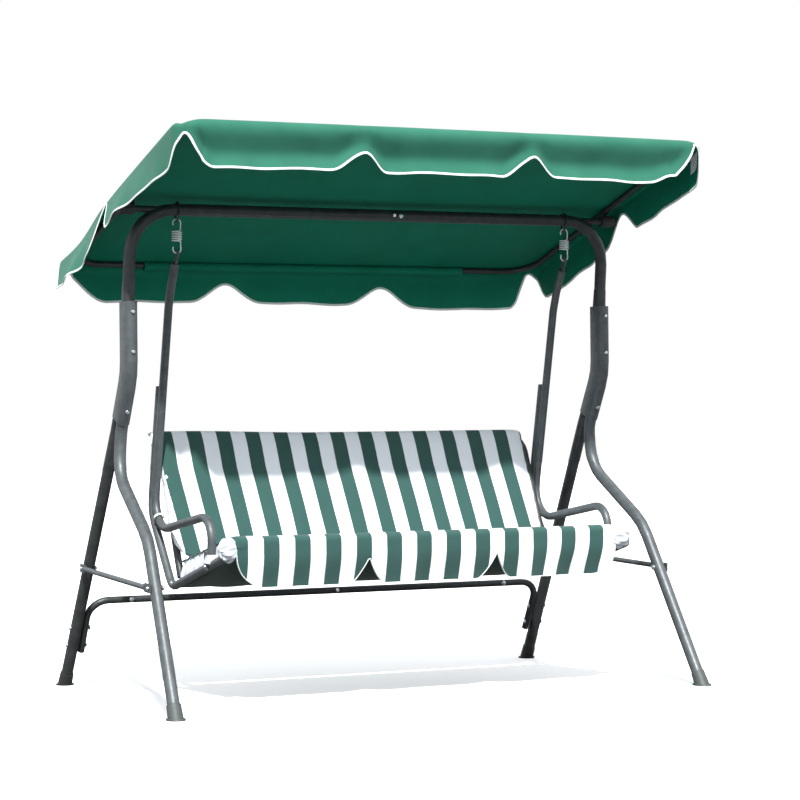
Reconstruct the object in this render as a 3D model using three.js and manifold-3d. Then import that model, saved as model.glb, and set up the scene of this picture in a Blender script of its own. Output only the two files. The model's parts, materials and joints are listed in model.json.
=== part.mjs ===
// Canopy swing bench: a tubular steel stand with two splayed legs a side, a bench hung on two
// springs, and a tilting fabric canopy on a pivot at each end of the top bar.
// Millimetres. +X points right as seen from the front, +Y to the back, +Z up. Pieces are placed
// about a point on the ground midway between the feet; the finished bench is then moved along Y, so
// that the origin is on the ground under the middle of its bounding box.

import * as THREE from "three";
import { mergeVertices } from "three/addons/utils/BufferGeometryUtils.js";
import Module from "manifold-3d";

const wasm = await Module();
wasm.setup();

// ---------------------------------------------------------------- driving dimensions

const CLEARANCE = 0.4; // between two pieces that touch on the real object
const ROUND = 16; // flats around a leg or the top bar
const SLIM_ROUND = 12; // flats around the slimmer tubes
const BORE_ROUND = 8; // flats around a bore
const BEND_STEP = 17; // degrees of a bend to each flat along it
const TOP_BAR = { y: -50, z: 1430, bend: 135 };
const BAR_SEAM_X = 36; // where the two halves of the top bar meet

const LEG = { outer: 36, wall: 1.5 };
const FOOT = { height: 45, top: 41, low: 44, rim: 54, rim_height: 5, floor: 6 };
const SLEEVE = { x: 792, y: -22, top: 1162, bend_z: 951, mouth_z: 818, wall: 1.5, bend: 150 };
const REAR_FOOT = { x: 815, y: 522 };
const FRONT_FOOT = { x: 846, y: -516 };
const LEG_TOP_Z = 1078;

const BRACE = { front_z: 347, rear_z: 371, outer: 16, wall: 1.2, flat: 3.5, gap: 1 };
const REAR_BAR = {
  y: 380,
  z: 267,
  outer: 22,
  wall: 1.2,
  bend: 60,
  seam: 661,
  drop: 160,
  bolt_z: 183,
};

const HANGER = { x: 650, outer: 25, wall: 1.5, flat: 5, eye: 10 };
const SPRING = { wire: 4, outer: 32, turns: 6.5, body: 38, top_z: 1404, bottom_z: 1302 };
const LOOP_ROD = 6;

const SEAT = { half_width: 615 };
const FRONT_RAIL = { y: -392, z: 455, outer: 25, wall: 1.2, half_length: 661 };
const REAR_RAIL = { y: 8, z: 333, outer: 22, wall: 1.2 };
const BACK = {
  outer: 22,
  wall: 1.2,
  half_width: 620,
  top_y: 190,
  top_z: 757,
  foot_y: 22,
  foot_z: 352,
  bend: 60,
};
const PAD = { thick: 12, half_width: 613, pitch: THREE.MathUtils.degToRad(11.3) };

const CANOPY = {
  tilt: THREE.MathUtils.degToRad(17.6),
  width: 1682.8,
  depth: 1149.4,
  corner: 85,
  cloth: 2.6,
  rod: 18,
  rod_wall: 1.5,
  rod_x: 801,
  rod_y: 528,
  rod_z: 30,
  front_bend: 64,
  rear_bend: 94,
  splice_y: 400,
  hem_z: -100,
};
// Where the hem rises between two scallops: places across the front and back, and along the sides.
const NOTCH = { front_x: 269, front_top: -30, rear_top: -8, side_y: 10, side_top: 5, corner_top: 10 };

// ---------------------------------------------------------------- materials

const paint = new THREE.MeshStandardMaterial({ color: 0x5b6165, roughness: 0.38, metalness: 0.55 });
const darkPaint = new THREE.MeshStandardMaterial({ color: 0x3b3c3f, roughness: 0.42, metalness: 0.5 });
const zinc = new THREE.MeshStandardMaterial({ color: 0xd4dadb, roughness: 0.25, metalness: 0.95 });
const plastic = new THREE.MeshStandardMaterial({ color: 0x33383a, roughness: 0.6, metalness: 0 });
const canopyCloth = new THREE.MeshStandardMaterial({ color: 0x2c7a60, roughness: 0.85, metalness: 0 });
const stripeCloth = new THREE.MeshStandardMaterial({ color: 0x5d9080, roughness: 0.85, metalness: 0 });
const slingCloth = new THREE.MeshStandardMaterial({ color: 0x14392f, roughness: 0.9, metalness: 0 });

// ---------------------------------------------------------------- solids and outlines

const v3 = (x, y, z) => new THREE.Vector3(x, y, z);
const v2 = (x, y) => new THREE.Vector2(x, y);

// A closed three.js geometry as a solid that can be joined and cut.
function solid(geometry) {
  const bare = new THREE.BufferGeometry();
  bare.setAttribute("position", geometry.getAttribute("position"));
  if (geometry.index) bare.setIndex(geometry.index);
  const merged = mergeVertices(bare, 1e-3);
  return new wasm.Manifold(
    new wasm.Mesh({
      numProp: 3,
      vertProperties: merged.attributes.position.array,
      triVerts: new Uint32Array(merged.index.array),
    }),
  );
}

// A solid back as a geometry.
function shell(manifold) {
  const mesh = manifold.getMesh();
  const geometry = new THREE.BufferGeometry();
  geometry.setAttribute("position", new THREE.BufferAttribute(mesh.vertProperties, 3));
  geometry.setIndex(new THREE.BufferAttribute(mesh.triVerts, 1));
  geometry.computeVertexNormals();
  return geometry;
}

// Points of a slot outline, round at both ends: length from end to end along x, width across. The
// number of segments is a multiple of four, so that both ends get the same share of them.
function slotPoints(length, width, segments) {
  const points = [];
  const reach = (length - width) / 2;
  for (let i = 0; i < segments; i++) {
    const angle = ((i + 0.5) / segments) * 2 * Math.PI;
    const end = Math.cos(angle) > 0 ? reach : -reach;
    points.push(v2((width / 2) * Math.cos(angle) + end, (width / 2) * Math.sin(angle)));
  }
  return points;
}

const circlePoints = (diameter, segments) => slotPoints(diameter, diameter, segments);

// A hollow section: an outer outline with a hole of fewer points inside it.
function hollow(outer, inner) {
  const shape = new THREE.Shape(outer);
  shape.holes.push(new THREE.Path(inner));
  return shape;
}

const flats = (outer) => (outer < LEG.outer - 2 ? SLIM_ROUND : ROUND);

const tubeSection = (outer, wall) =>
  hollow(circlePoints(outer, flats(outer)), circlePoints(outer - 2 * wall, BORE_ROUND));

// A pipe's centre line: straight stretches joined by round bends. Each corner is [point, radius].
class PipeLine extends THREE.Curve {
  constructor(corners, stepDegrees = BEND_STEP) {
    super();
    this.stations = [];
    const last = corners.length - 1;
    corners.forEach(([corner, radius = 0], i) => {
      const into = i > 0 && corner.clone().sub(corners[i - 1][0]).normalize();
      const out = i < last && corners[i + 1][0].clone().sub(corner).normalize();
      if (i === 0) this.stations.push([corner, out]);
      else if (i === last) this.stations.push([corner, into]);
      else this.bend(corner, radius, into, out, stepDegrees);
    });
  }

  bend(corner, radius, into, out, stepDegrees) {
    const angle = into.angleTo(out);
    const reach = radius * Math.tan(angle / 2);
    const start = corner.clone().addScaledVector(into, -reach);
    const side = out.clone().addScaledVector(into, -into.dot(out)).normalize();
    const centre = start.clone().addScaledVector(side, radius);
    const steps = Math.max(1, Math.ceil(THREE.MathUtils.radToDeg(angle) / stepDegrees));
    for (let k = radius > 0 ? 0 : steps / 2; k <= steps; k++) {
      const turn = (k / steps) * angle;
      const point = centre.clone();
      point.addScaledVector(side, -radius * Math.cos(turn));
      point.addScaledVector(into, radius * Math.sin(turn));
      const tangent = into.clone().multiplyScalar(Math.cos(turn));
      tangent.addScaledVector(side, Math.sin(turn));
      this.stations.push([point, tangent]);
      if (radius === 0) break;
    }
  }

  get steps() {
    return this.stations.length - 1;
  }

  station(u) {
    return this.stations[Math.round(u * this.steps)];
  }

  getPointAt(u) {
    return this.station(u)[0].clone();
  }

  getTangentAt(u) {
    return this.station(u)[1].clone();
  }
}

const sweep = (section, line) =>
  new THREE.ExtrudeGeometry(section, { steps: line.steps, extrudePath: line, curveSegments: 6 });

const pipe = (outer, wall, corners, step) =>
  sweep(tubeSection(outer, wall), new PipeLine(corners, step));

const rod = (diameter, corners, step, sides) =>
  sweep(new THREE.Shape(circlePoints(diameter, sides)), new PipeLine(corners, step));

// An outline in the y-z plane, given as points (y, z), pushed out along x from x0 to x1.
function slabAlongX(points, x0, x1) {
  const outline = new THREE.Shape(points);
  const geometry = new THREE.ExtrudeGeometry(outline, { depth: x1 - x0, bevelEnabled: false });
  geometry.applyMatrix4(new THREE.Matrix4().makeBasis(v3(0, 1, 0), v3(0, 0, 1), v3(1, 0, 0)));
  return geometry.translate(x0, 0, 0);
}

// An outline in the x-z plane, given as points (x, z), pushed out along y from y0 to y1.
function slabAlongY(points, y0, y1) {
  const outline = new THREE.Shape(points);
  const geometry = new THREE.ExtrudeGeometry(outline, { depth: y1 - y0, bevelEnabled: false });
  geometry.applyMatrix4(new THREE.Matrix4().makeBasis(v3(1, 0, 0), v3(0, 0, 1), v3(0, -1, 0)));
  return geometry.translate(0, y1, 0);
}

// A turned piece about x: profile points are (radius, distance along +x).
function turnedAlongX(profile, segments = 14) {
  const points = profile.map(([radius, along]) => v2(radius, along));
  return new THREE.LatheGeometry(points, segments).rotateZ(-Math.PI / 2);
}

// ---------------------------------------------------------------- scene helpers

const bench = new THREE.Group();
const canopy = new THREE.Group();
canopy.position.set(0, TOP_BAR.y, TOP_BAR.z);
canopy.rotation.x = -CANOPY.tilt;
bench.add(canopy);

function add(name, geometry, material, group = bench) {
  const mesh = new THREE.Mesh(geometry, material);
  mesh.name = name;
  group.add(mesh);
  return mesh;
}

// Makes the left (-1) and right (+1) copy of a piece from one function of the side.
function bothSides(build) {
  build("left", -1);
  build("right", 1);
}

// ---------------------------------------------------------------- legs, sleeves and feet

// Both legs run up side by side inside the sleeve. Their centre lines keep this distance apart.
const LEG_SPACING = LEG.outer + CLEARANCE;
const REAR_SLOPE = 0.548; // how far a rear leg goes back per unit of drop
const SLANT = Math.atan(REAR_SLOPE);
const bendShift = (LEG_SPACING / 2) * Math.tan(SLANT / 2);

// The centre line of the sleeve, moved across by an offset towards the front or the back.
function sleeveLine(offset) {
  const bendZ = SLEEVE.bend_z + Math.sign(offset) * bendShift;
  return { y: SLEEVE.y + offset, z: bendZ, radius: SLEEVE.bend - offset };
}

function slantPoint(x, offset, z) {
  const { y, z: bendZ } = sleeveLine(offset);
  return v3(x, y + REAR_SLOPE * (bendZ - z), z);
}

function rearLegCorners(side) {
  const { y, z, radius } = sleeveLine(LEG_SPACING / 2);
  return [
    [v3(side * SLEEVE.x, y, LEG_TOP_Z)],
    [v3(side * SLEEVE.x, y, z), radius],
    [slantPoint(side * SLEEVE.x, LEG_SPACING / 2, SLEEVE.mouth_z - 30), 0],
    [v3(side * REAR_FOOT.x, REAR_FOOT.y, 0)],
  ];
}

const KNEE = { x: 816, y: -231, z: 482, bend: 190 };
const HIP = { x: 800, y: 50, z: 657, bend: 120 };
const NECK_BEND = 84;

function frontLegCorners(side) {
  const { y, z, radius } = sleeveLine(-LEG_SPACING / 2);
  const neckZ = z - (HIP.y - y) / REAR_SLOPE;
  return [
    [v3(side * SLEEVE.x, y, LEG_TOP_Z)],
    [v3(side * SLEEVE.x, y, z), radius],
    [v3(side * SLEEVE.x, HIP.y, neckZ), NECK_BEND],
    [v3(side * HIP.x, HIP.y, HIP.z), HIP.bend],
    [v3(side * KNEE.x, KNEE.y, KNEE.z), KNEE.bend],
    [v3(side * FRONT_FOOT.x, FRONT_FOOT.y, 0)],
  ];
}

// Shortens a run of corners at its last end, so that a tube stops above the floor of its foot.
function stopAt(corners, height) {
  const end = corners.at(-1)[0];
  const before = corners.at(-2)[0];
  const cut = end.clone().lerp(before, height / before.z);
  return [...corners.slice(0, -1), [cut]];
}

const legTube = (corners) => pipe(LEG.outer, LEG.wall, stopAt(corners, FOOT.floor + 10));

function legSleeve(side) {
  const inner = { width: LEG.outer + 2 * CLEARANCE, length: 2 * LEG.outer + 4 * CLEARANCE };
  const skin = 2 * SLEEVE.wall;
  const section = hollow(
    slotPoints(inner.length + skin, inner.width + skin, ROUND),
    slotPoints(inner.length, inner.width, ROUND),
  );
  const { y, z, radius } = sleeveLine(0);
  return sweep(section, new PipeLine([
    [v3(side * SLEEVE.x, y, SLEEVE.top)],
    [v3(side * SLEEVE.x, y, z), radius],
    [slantPoint(side * SLEEVE.x, 0, SLEEVE.mouth_z)],
  ]));
}

// A cap on the end of a leg, cut level where it stands, with a thin flat rim on the ground.
function foot(corners) {
  const end = corners.at(-1)[0];
  const slope = corners.at(-2)[0].clone().sub(end).normalize();
  const bore = LEG.outer / 2 + CLEARANCE;
  const turned = (profile) => {
    const geometry = new THREE.LatheGeometry(profile.map(([r, h]) => v2(r, h)), ROUND);
    geometry.applyQuaternion(new THREE.Quaternion().setFromUnitVectors(v3(0, 1, 0), slope));
    return solid(geometry.translate(end.x, end.y, end.z));
  };
  const cap = turned([
    [0, -30], [FOOT.low / 2, -30], [FOOT.low / 2, 6], [FOOT.top / 2, FOOT.height],
    [bore, FOOT.height], [bore, FOOT.floor], [0, FOOT.floor],
  ]);
  const skirt = turned([[0, -30], [FOOT.rim / 2, -30], [FOOT.rim / 2, 30], [0, 30]]);
  const slab = new THREE.BoxGeometry(200, 200, FOOT.rim_height);
  const rim = skirt.intersect(solid(slab.translate(end.x, end.y, FOOT.rim_height / 2)));
  const ground = new THREE.BoxGeometry(200, 200, 100).translate(end.x, end.y, -50);
  return shell(cap.add(rim).subtract(solid(ground)));
}

bothSides((name, side) => {
  add(`${name}_rear_leg`, legTube(rearLegCorners(side)), paint);
  add(`${name}_front_leg`, legTube(frontLegCorners(side)), paint);
  add(`${name}_leg_sleeve`, legSleeve(side), paint);
  add(`${name}_rear_foot`, foot(rearLegCorners(side)), plastic);
  add(`${name}_front_foot`, foot(frontLegCorners(side)), plastic);
});

// ---------------------------------------------------------------- top bar and spring loops

const BAR_LEAN = Math.atan((SLEEVE.y - TOP_BAR.y) / (TOP_BAR.z - SLEEVE.top));
const PLUG = { length: 46, rise: 54, depth: 60 };

const barCorner = (side) => v3(side * SLEEVE.x, TOP_BAR.y, TOP_BAR.z);
const barDown = v3(0, Math.sin(BAR_LEAN), -Math.cos(BAR_LEAN));

function barCorners(side, startX) {
  const down = (TOP_BAR.z - SLEEVE.top + PLUG.depth) / Math.cos(BAR_LEAN);
  return [
    [v3(startX, TOP_BAR.y, TOP_BAR.z)],
    [barCorner(side), TOP_BAR.bend],
    [barCorner(side).addScaledVector(barDown, down)],
  ];
}

// The lower end of the top bar is pressed from round to oval where it enters the sleeve.
function pressedEnd(side) {
  const length = PLUG.rise + PLUG.depth;
  const oval = new THREE.Shape(slotPoints(PLUG.length, LEG.outer + 0.1, ROUND));
  const geometry = new THREE.ExtrudeGeometry(oval, { depth: length, steps: 2, bevelEnabled: false });
  const position = geometry.getAttribute("position");
  for (let i = 0; i < position.count; i++) {
    if (position.getZ(i) < 1) position.setX(i, (position.getX(i) * LEG.outer) / PLUG.length);
  }
  const forward = barDown.clone().cross(v3(1, 0, 0));
  geometry.applyMatrix4(new THREE.Matrix4().makeBasis(forward, v3(-1, 0, 0), barDown));
  const start = (TOP_BAR.z - SLEEVE.top - PLUG.rise) / Math.cos(BAR_LEAN);
  const from = barCorner(side).addScaledVector(barDown, start);
  return geometry.translate(from.x, from.y, from.z);
}

function topBarHalf(side) {
  const section = new THREE.Shape(circlePoints(LEG.outer, ROUND));
  const bore = new THREE.Shape(circlePoints(LEG.outer - 2 * LEG.wall, ROUND / 2));
  const seamX = BAR_SEAM_X + side * CLEARANCE / 2;
  const corners = barCorners(side, seamX);
  const outer = solid(sweep(section, new PipeLine(corners))).add(solid(pressedEnd(side)));
  const longer = barCorners(side, seamX - side * 5);
  longer[2][0].addScaledVector(barDown, 5);
  return outer.subtract(solid(sweep(bore, new PipeLine(longer))));
}

// The left half carries a narrower spigot that slides into the right half.
function spigot() {
  const outer = (LEG.outer - 2 * LEG.wall) * Math.cos(Math.PI / (ROUND / 2)) - 2 * CLEARANCE;
  const from = BAR_SEAM_X - 12;
  const to = BAR_SEAM_X + 44;
  return solid(pipe(outer, LEG.wall, [
    [v3(from, TOP_BAR.y, TOP_BAR.z)],
    [v3(to, TOP_BAR.y, TOP_BAR.z)],
  ])).add(solid(pipe(LEG.outer - 1, LEG.wall + 1, [
    [v3(from - 4, TOP_BAR.y, TOP_BAR.z)],
    [v3(BAR_SEAM_X - 2, TOP_BAR.y, TOP_BAR.z)],
  ])));
}

// A stub stands out from each bend of the top bar and carries the canopy pivot.
const STUB = { outer: 20, wall: 2, end: 783 };

function pivotStub(side) {
  const along = (x) => [v3(side * x, TOP_BAR.y, TOP_BAR.z)];
  const tube = pipe(STUB.outer, STUB.wall, [along(700), along(STUB.end)]);
  const clear = new THREE.Shape(circlePoints(LEG.outer + 2 * CLEARANCE, ROUND));
  const bar = sweep(clear, new PipeLine(barCorners(side, side * 500)));
  const pieces = solid(tube).subtract(solid(bar)).decompose();
  return shell(pieces.sort((a, b) => b.volume() - a.volume())[0]);
}

// A bent rod hooked over the top bar: a half circle over the bar and two legs that meet in a V.
function springLoop(side) {
  const x = side * (HANGER.x - 1);
  const reach = LEG.outer / 2 + CLEARANCE + LOOP_ROD / 2;
  const low = SPRING.top_z - SPRING.wire / 2 - LOOP_ROD / 2 - 1;
  const bottom = v3(x, TOP_BAR.y, low - 4);
  const over = TOP_BAR.z + reach;
  return rod(LOOP_ROD, [
    [v3(x, TOP_BAR.y + 0.6, over)],
    [v3(x, TOP_BAR.y + reach, over), reach - 2],
    [v3(x, TOP_BAR.y + reach, TOP_BAR.z - 10), 10],
    [bottom, 7],
    [v3(x, TOP_BAR.y - reach, TOP_BAR.z - 10), 10],
    [v3(x, TOP_BAR.y - reach, over), reach - 2],
    [v3(x, TOP_BAR.y - 0.6, over)],
  ], 30, 6);
}

add("top_bar_left", shell(topBarHalf(-1).add(spigot())), darkPaint);
add("top_bar_right", shell(topBarHalf(1)), darkPaint);
bothSides((name, side) => {
  add(`${name}_pivot_stub`, pivotStub(side), darkPaint);
  add(`${name}_spring_loop`, springLoop(side), darkPaint);
});

// ---------------------------------------------------------------- braces and lower rear bar

// Where a leg's straight lower stretch passes a height.
function onLeg(corners, z) {
  const low = corners.at(-1)[0];
  const high = corners.at(-2)[0];
  return low.clone().lerp(high, z / high.z);
}

// A brace lies on the outer faces of one side's two legs, with both ends pressed flat.
function sideBrace(side) {
  const front = onLeg(frontLegCorners(side), BRACE.front_z);
  const rear = onLeg(rearLegCorners(side), BRACE.rear_z);
  const outward = side * (LEG.outer / 2 + BRACE.gap + BRACE.flat / 2);
  front.x += outward;
  rear.x += outward;
  const along = rear.clone().sub(front);
  const length = along.length();
  const tube = new THREE.CylinderGeometry(BRACE.outer / 2, BRACE.outer / 2, length - 56, 12);
  const flat = new THREE.BoxGeometry(BRACE.flat, length + 30, 26);
  const taper = new THREE.BoxGeometry(BRACE.flat + 5, length - 36, 21);
  const parts = solid(tube).add(solid(flat)).add(solid(taper));
  const middle = new THREE.BoxGeometry(60, length - 66, 60);
  const core = solid(middle).intersect(solid(tube));
  const brace = parts.subtract(solid(middle)).add(core);
  const bore = new THREE.CylinderGeometry(
    BRACE.outer / 2 - BRACE.wall, BRACE.outer / 2 - BRACE.wall, length - 74, 10,
  );
  const vent = new THREE.CylinderGeometry(1.5, 1.5, 20, 6).rotateX(Math.PI / 2);
  vent.translate(0, 0, -BRACE.outer / 2);
  const geometry = shell(brace.subtract(solid(bore)).subtract(solid(vent)));
  geometry.applyQuaternion(new THREE.Quaternion().setFromUnitVectors(v3(0, 1, 0), along.normalize()));
  const centre = front.lerp(rear, 0.5);
  return geometry.translate(centre.x, centre.y, centre.z);
}

// The end of the lower rear bar turns down and lies along the inner face of its rear leg.
function rearBarEnd(side) {
  const legX = onLeg(rearLegCorners(side), REAR_BAR.z - REAR_BAR.drop / 2).x;
  const inset = (LEG.outer + REAR_BAR.outer) / 2 + CLEARANCE;
  const x = legX - side * inset;
  return pipe(REAR_BAR.outer, REAR_BAR.wall, [
    [v3(side * (REAR_BAR.seam + CLEARANCE / 2), REAR_BAR.y, REAR_BAR.z)],
    [v3(x, REAR_BAR.y, REAR_BAR.z), REAR_BAR.bend],
    [v3(x, REAR_BAR.y + REAR_SLOPE * REAR_BAR.drop, REAR_BAR.z - REAR_BAR.drop)],
  ]);
}

function rearBarMiddle(x0, x1) {
  return pipe(REAR_BAR.outer, REAR_BAR.wall, [
    [v3(x0 + CLEARANCE / 2, REAR_BAR.y, REAR_BAR.z)],
    [v3(x1 - CLEARANCE / 2, REAR_BAR.y, REAR_BAR.z)],
  ]);
}

bothSides((name, side) => {
  add(`${name}_side_brace`, sideBrace(side), paint);
  add(`${name}_rear_bar_end`, rearBarEnd(side), darkPaint);
});
add("rear_bar_left_middle", rearBarMiddle(-REAR_BAR.seam, BAR_SEAM_X), darkPaint);
add("rear_bar_right_middle", rearBarMiddle(BAR_SEAM_X, REAR_BAR.seam), darkPaint);

// ---------------------------------------------------------------- bolts

// A domed bolt head. It stands on the surface it holds.
const BOLT = { head: 13, dome: 5 };

function bolt(name, at, outward) {
  const r = BOLT.head / 2;
  const profile = [[0, CLEARANCE], [r, CLEARANCE], [r, 1.6], [r * 0.7, BOLT.dome], [0, BOLT.dome + 0.4]];
  const geometry = new THREE.LatheGeometry(profile.map(([a, b]) => v2(a, b)), 10);
  geometry.applyQuaternion(new THREE.Quaternion().setFromUnitVectors(v3(0, 1, 0), outward));
  add(name, geometry.translate(at.x, at.y, at.z), zinc);
}

// The front face of the sleeve at a height, and the way that face points.
function sleeveFace(side, z) {
  const half = LEG.outer + 2 * CLEARANCE + SLEEVE.wall;
  const straight = z > SLEEVE.bend_z;
  const outward = straight ? v3(0, -1, 0) : v3(0, -Math.cos(SLANT), -Math.sin(SLANT));
  const y = straight ? SLEEVE.y : slantPoint(0, 0, z).y;
  return { at: v3(side * SLEEVE.x, y, z).addScaledVector(outward, half), outward };
}

bothSides((name, side) => {
  for (const [place, z] of [["upper", 1131], ["middle", 1015], ["lower", 860]]) {
    const { at, outward } = sleeveFace(side, z);
    bolt(`${name}_sleeve_bolt_${place}`, at, outward);
  }
  for (const [place, at] of [
    ["front", onLeg(frontLegCorners(side), BRACE.front_z)],
    ["rear", onLeg(rearLegCorners(side), BRACE.rear_z)],
  ]) {
    at.x += side * (LEG.outer / 2 + BRACE.flat + BRACE.gap);
    bolt(`${name}_brace_bolt_${place}`, at, v3(side, 0, 0));
  }
  const onBar = onLeg(rearLegCorners(side), REAR_BAR.bolt_z);
  onBar.x += side * (LEG.outer / 2);
  bolt(`${name}_rear_bar_bolt`, onBar, v3(side, 0, 0));
});
bolt("top_bar_bolt", v3(BAR_SEAM_X + 12, TOP_BAR.y - LEG.outer / 2, TOP_BAR.z), v3(0, -1, 0));
const barFront = REAR_BAR.y - REAR_BAR.outer / 2;
bolt("rear_bar_bolt_middle", v3(BAR_SEAM_X + 10, barFront, REAR_BAR.z), v3(0, -1, 0));

// ---------------------------------------------------------------- canopy frame

const SPIGOT_REACH = 32;

// A U-shaped end of the canopy frame: a cross bar with a round bend at each rafter.
function canopyEnd(direction, bend) {
  const far = direction * CANOPY.rod_y;
  const near = direction * (CANOPY.splice_y + CLEARANCE / 2);
  return pipe(CANOPY.rod, CANOPY.rod_wall, [
    [v3(-CANOPY.rod_x, near, CANOPY.rod_z)],
    [v3(-CANOPY.rod_x, far, CANOPY.rod_z), bend],
    [v3(CANOPY.rod_x, far, CANOPY.rod_z), bend],
    [v3(CANOPY.rod_x, near, CANOPY.rod_z)],
  ]);
}

// A rafter runs over the pivot. Its ends narrow to slide into the front and rear ends of the frame.
function rafter(side) {
  const x = side * CANOPY.rod_x;
  const line = (reach) => [
    [v3(x, -reach, CANOPY.rod_z)],
    [v3(x, reach, CANOPY.rod_z)],
  ];
  const hollowOf = CANOPY.rod - 2 * CANOPY.rod_wall;
  const inner = hollowOf * Math.cos(Math.PI / BORE_ROUND) - 2 * CLEARANCE;
  const narrow = new THREE.Shape(circlePoints(inner, BORE_ROUND));
  const bore = new THREE.Shape(circlePoints(inner - 2 * CANOPY.rod_wall, 6));
  const wide = new THREE.Shape(circlePoints(CANOPY.rod, SLIM_ROUND));
  const body = solid(sweep(wide, new PipeLine(line(CANOPY.splice_y - CLEARANCE / 2))));
  const spigots = solid(sweep(narrow, new PipeLine(line(CANOPY.splice_y + SPIGOT_REACH))));
  const hole = solid(sweep(bore, new PipeLine(line(CANOPY.splice_y + SPIGOT_REACH + 4))));
  return shell(body.add(spigots).subtract(hole));
}

// A plate under each rafter, with the hole that the pivot screw passes through. Its top is folded
// outwards into a saddle that the rafter lies on.
const PLATE = { thick: 4, round: 17, hole: 12, saddle: 2, saddle_end: 805 };
const PLATE_X = STUB.end + CLEARANCE;

function pivotPlate(side) {
  const top = CANOPY.rod_z - CANOPY.rod / 2 - CLEARANCE;
  const outline = new THREE.Shape([v2(-PLATE.round, top), v2(-PLATE.round, 0)]);
  outline.absarc(0, 0, PLATE.round, Math.PI, 2 * Math.PI);
  outline.lineTo(PLATE.round, top);
  const start = side > 0 ? PLATE_X : -PLATE_X - PLATE.thick;
  const plate = slabAlongX(outline.getPoints(5), start, start + PLATE.thick);
  const reach = PLATE.saddle_end - PLATE_X;
  const saddle = new THREE.BoxGeometry(reach, 2 * PLATE.round, PLATE.saddle);
  saddle.translate(side * (PLATE_X + reach / 2), 0, top - PLATE.saddle / 2);
  const r = PLATE.hole / 2;
  const hole = turnedAlongX([[0, -30], [r, -30], [r, 30], [0, 30]], ROUND);
  hole.translate(side * PLATE_X, 0, 0);
  return shell(solid(plate).add(solid(saddle)).subtract(solid(hole)));
}

add("canopy_front_bar", canopyEnd(-1, CANOPY.front_bend), darkPaint, canopy);
add("canopy_rear_bar", canopyEnd(1, CANOPY.rear_bend), darkPaint, canopy);
bothSides((name, side) => {
  add(`${name}_rafter`, rafter(side), darkPaint, canopy);
  add(`${name}_pivot_plate`, pivotPlate(side), darkPaint, canopy);
});

// ---------------------------------------------------------------- pivot knobs

// A ribbed hand knob with its screw. The screw goes through the plate and into the hollow stub.
const KNOB = { outer: 36, length: 40, ribs: 14, rib: 1.6, screw: 10, reach: 18 };

function pivotKnob(side) {
  const outline = [];
  for (let i = 0; i < 2 * KNOB.ribs; i++) {
    const angle = (i / (2 * KNOB.ribs)) * 2 * Math.PI;
    const radius = KNOB.outer / 2 - (i % 2 ? KNOB.rib : 0);
    outline.push(v2(radius * Math.cos(angle), radius * Math.sin(angle)));
  }
  const start = PLATE_X + PLATE.thick + CLEARANCE;
  const x0 = side > 0 ? start : -start - KNOB.length;
  const grip = slabAlongX(outline, x0, x0 + KNOB.length);
  const along = [side * (PLATE_X - KNOB.reach), side * (start + 6)].sort((a, b) => a - b);
  const r = KNOB.screw / 2;
  const screw = turnedAlongX([[0, along[0]], [r, along[0]], [r, along[1]], [0, along[1]]], 12);
  return shell(solid(grip).add(solid(screw))).translate(0, TOP_BAR.y, TOP_BAR.z);
}

bothSides((name, side) => add(`${name}_pivot_knob`, pivotKnob(side), plastic));

// ---------------------------------------------------------------- canopy cloth

function roundedRectangle(width, depth, corner) {
  const shape = new THREE.Shape();
  const x = width / 2 - corner;
  const y = depth / 2 - corner;
  const quarter = Math.PI / 2;
  shape.absarc(x, y, corner, 0, quarter);
  shape.absarc(-x, y, corner, quarter, 2 * quarter);
  shape.absarc(-x, -y, corner, 2 * quarter, 3 * quarter);
  shape.absarc(x, -y, corner, 3 * quarter, 4 * quarter);
  return shape;
}

// A block with the canopy's plan at the top. Its walls hang plumb, so they lean back in the tilted
// frame of the canopy.
function plumbBlock(top, inset, drop) {
  const width = CANOPY.width - 2 * inset;
  const depth = CANOPY.depth - 2 * inset;
  const plan = roundedRectangle(width, depth, CANOPY.corner - inset);
  const options = { depth: drop, bevelEnabled: false, curveSegments: 5 };
  const geometry = new THREE.ExtrudeGeometry(plan, options).translate(0, 0, -drop);
  const lean = new THREE.Matrix4().makeShear(0, 0, 0, 0, 0, -Math.tan(CANOPY.tilt));
  return solid(geometry.applyMatrix4(lean).translate(0, 0, top));
}

// The open space between two scallops of a hem: a rounded notch of a given half width and height.
function notch(centre, halfWidth, top, bottom) {
  const points = [v2(centre - halfWidth, bottom), v2(centre + halfWidth, bottom)];
  const steps = 8;
  for (let i = 1; i < steps; i++) {
    const across = Math.cos((i / steps) * Math.PI);
    const height = Math.pow(1 - Math.abs(across), 1.6);
    points.push(v2(centre + halfWidth * across, bottom + 2 + (top - bottom - 2) * height));
  }
  return points;
}

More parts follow.
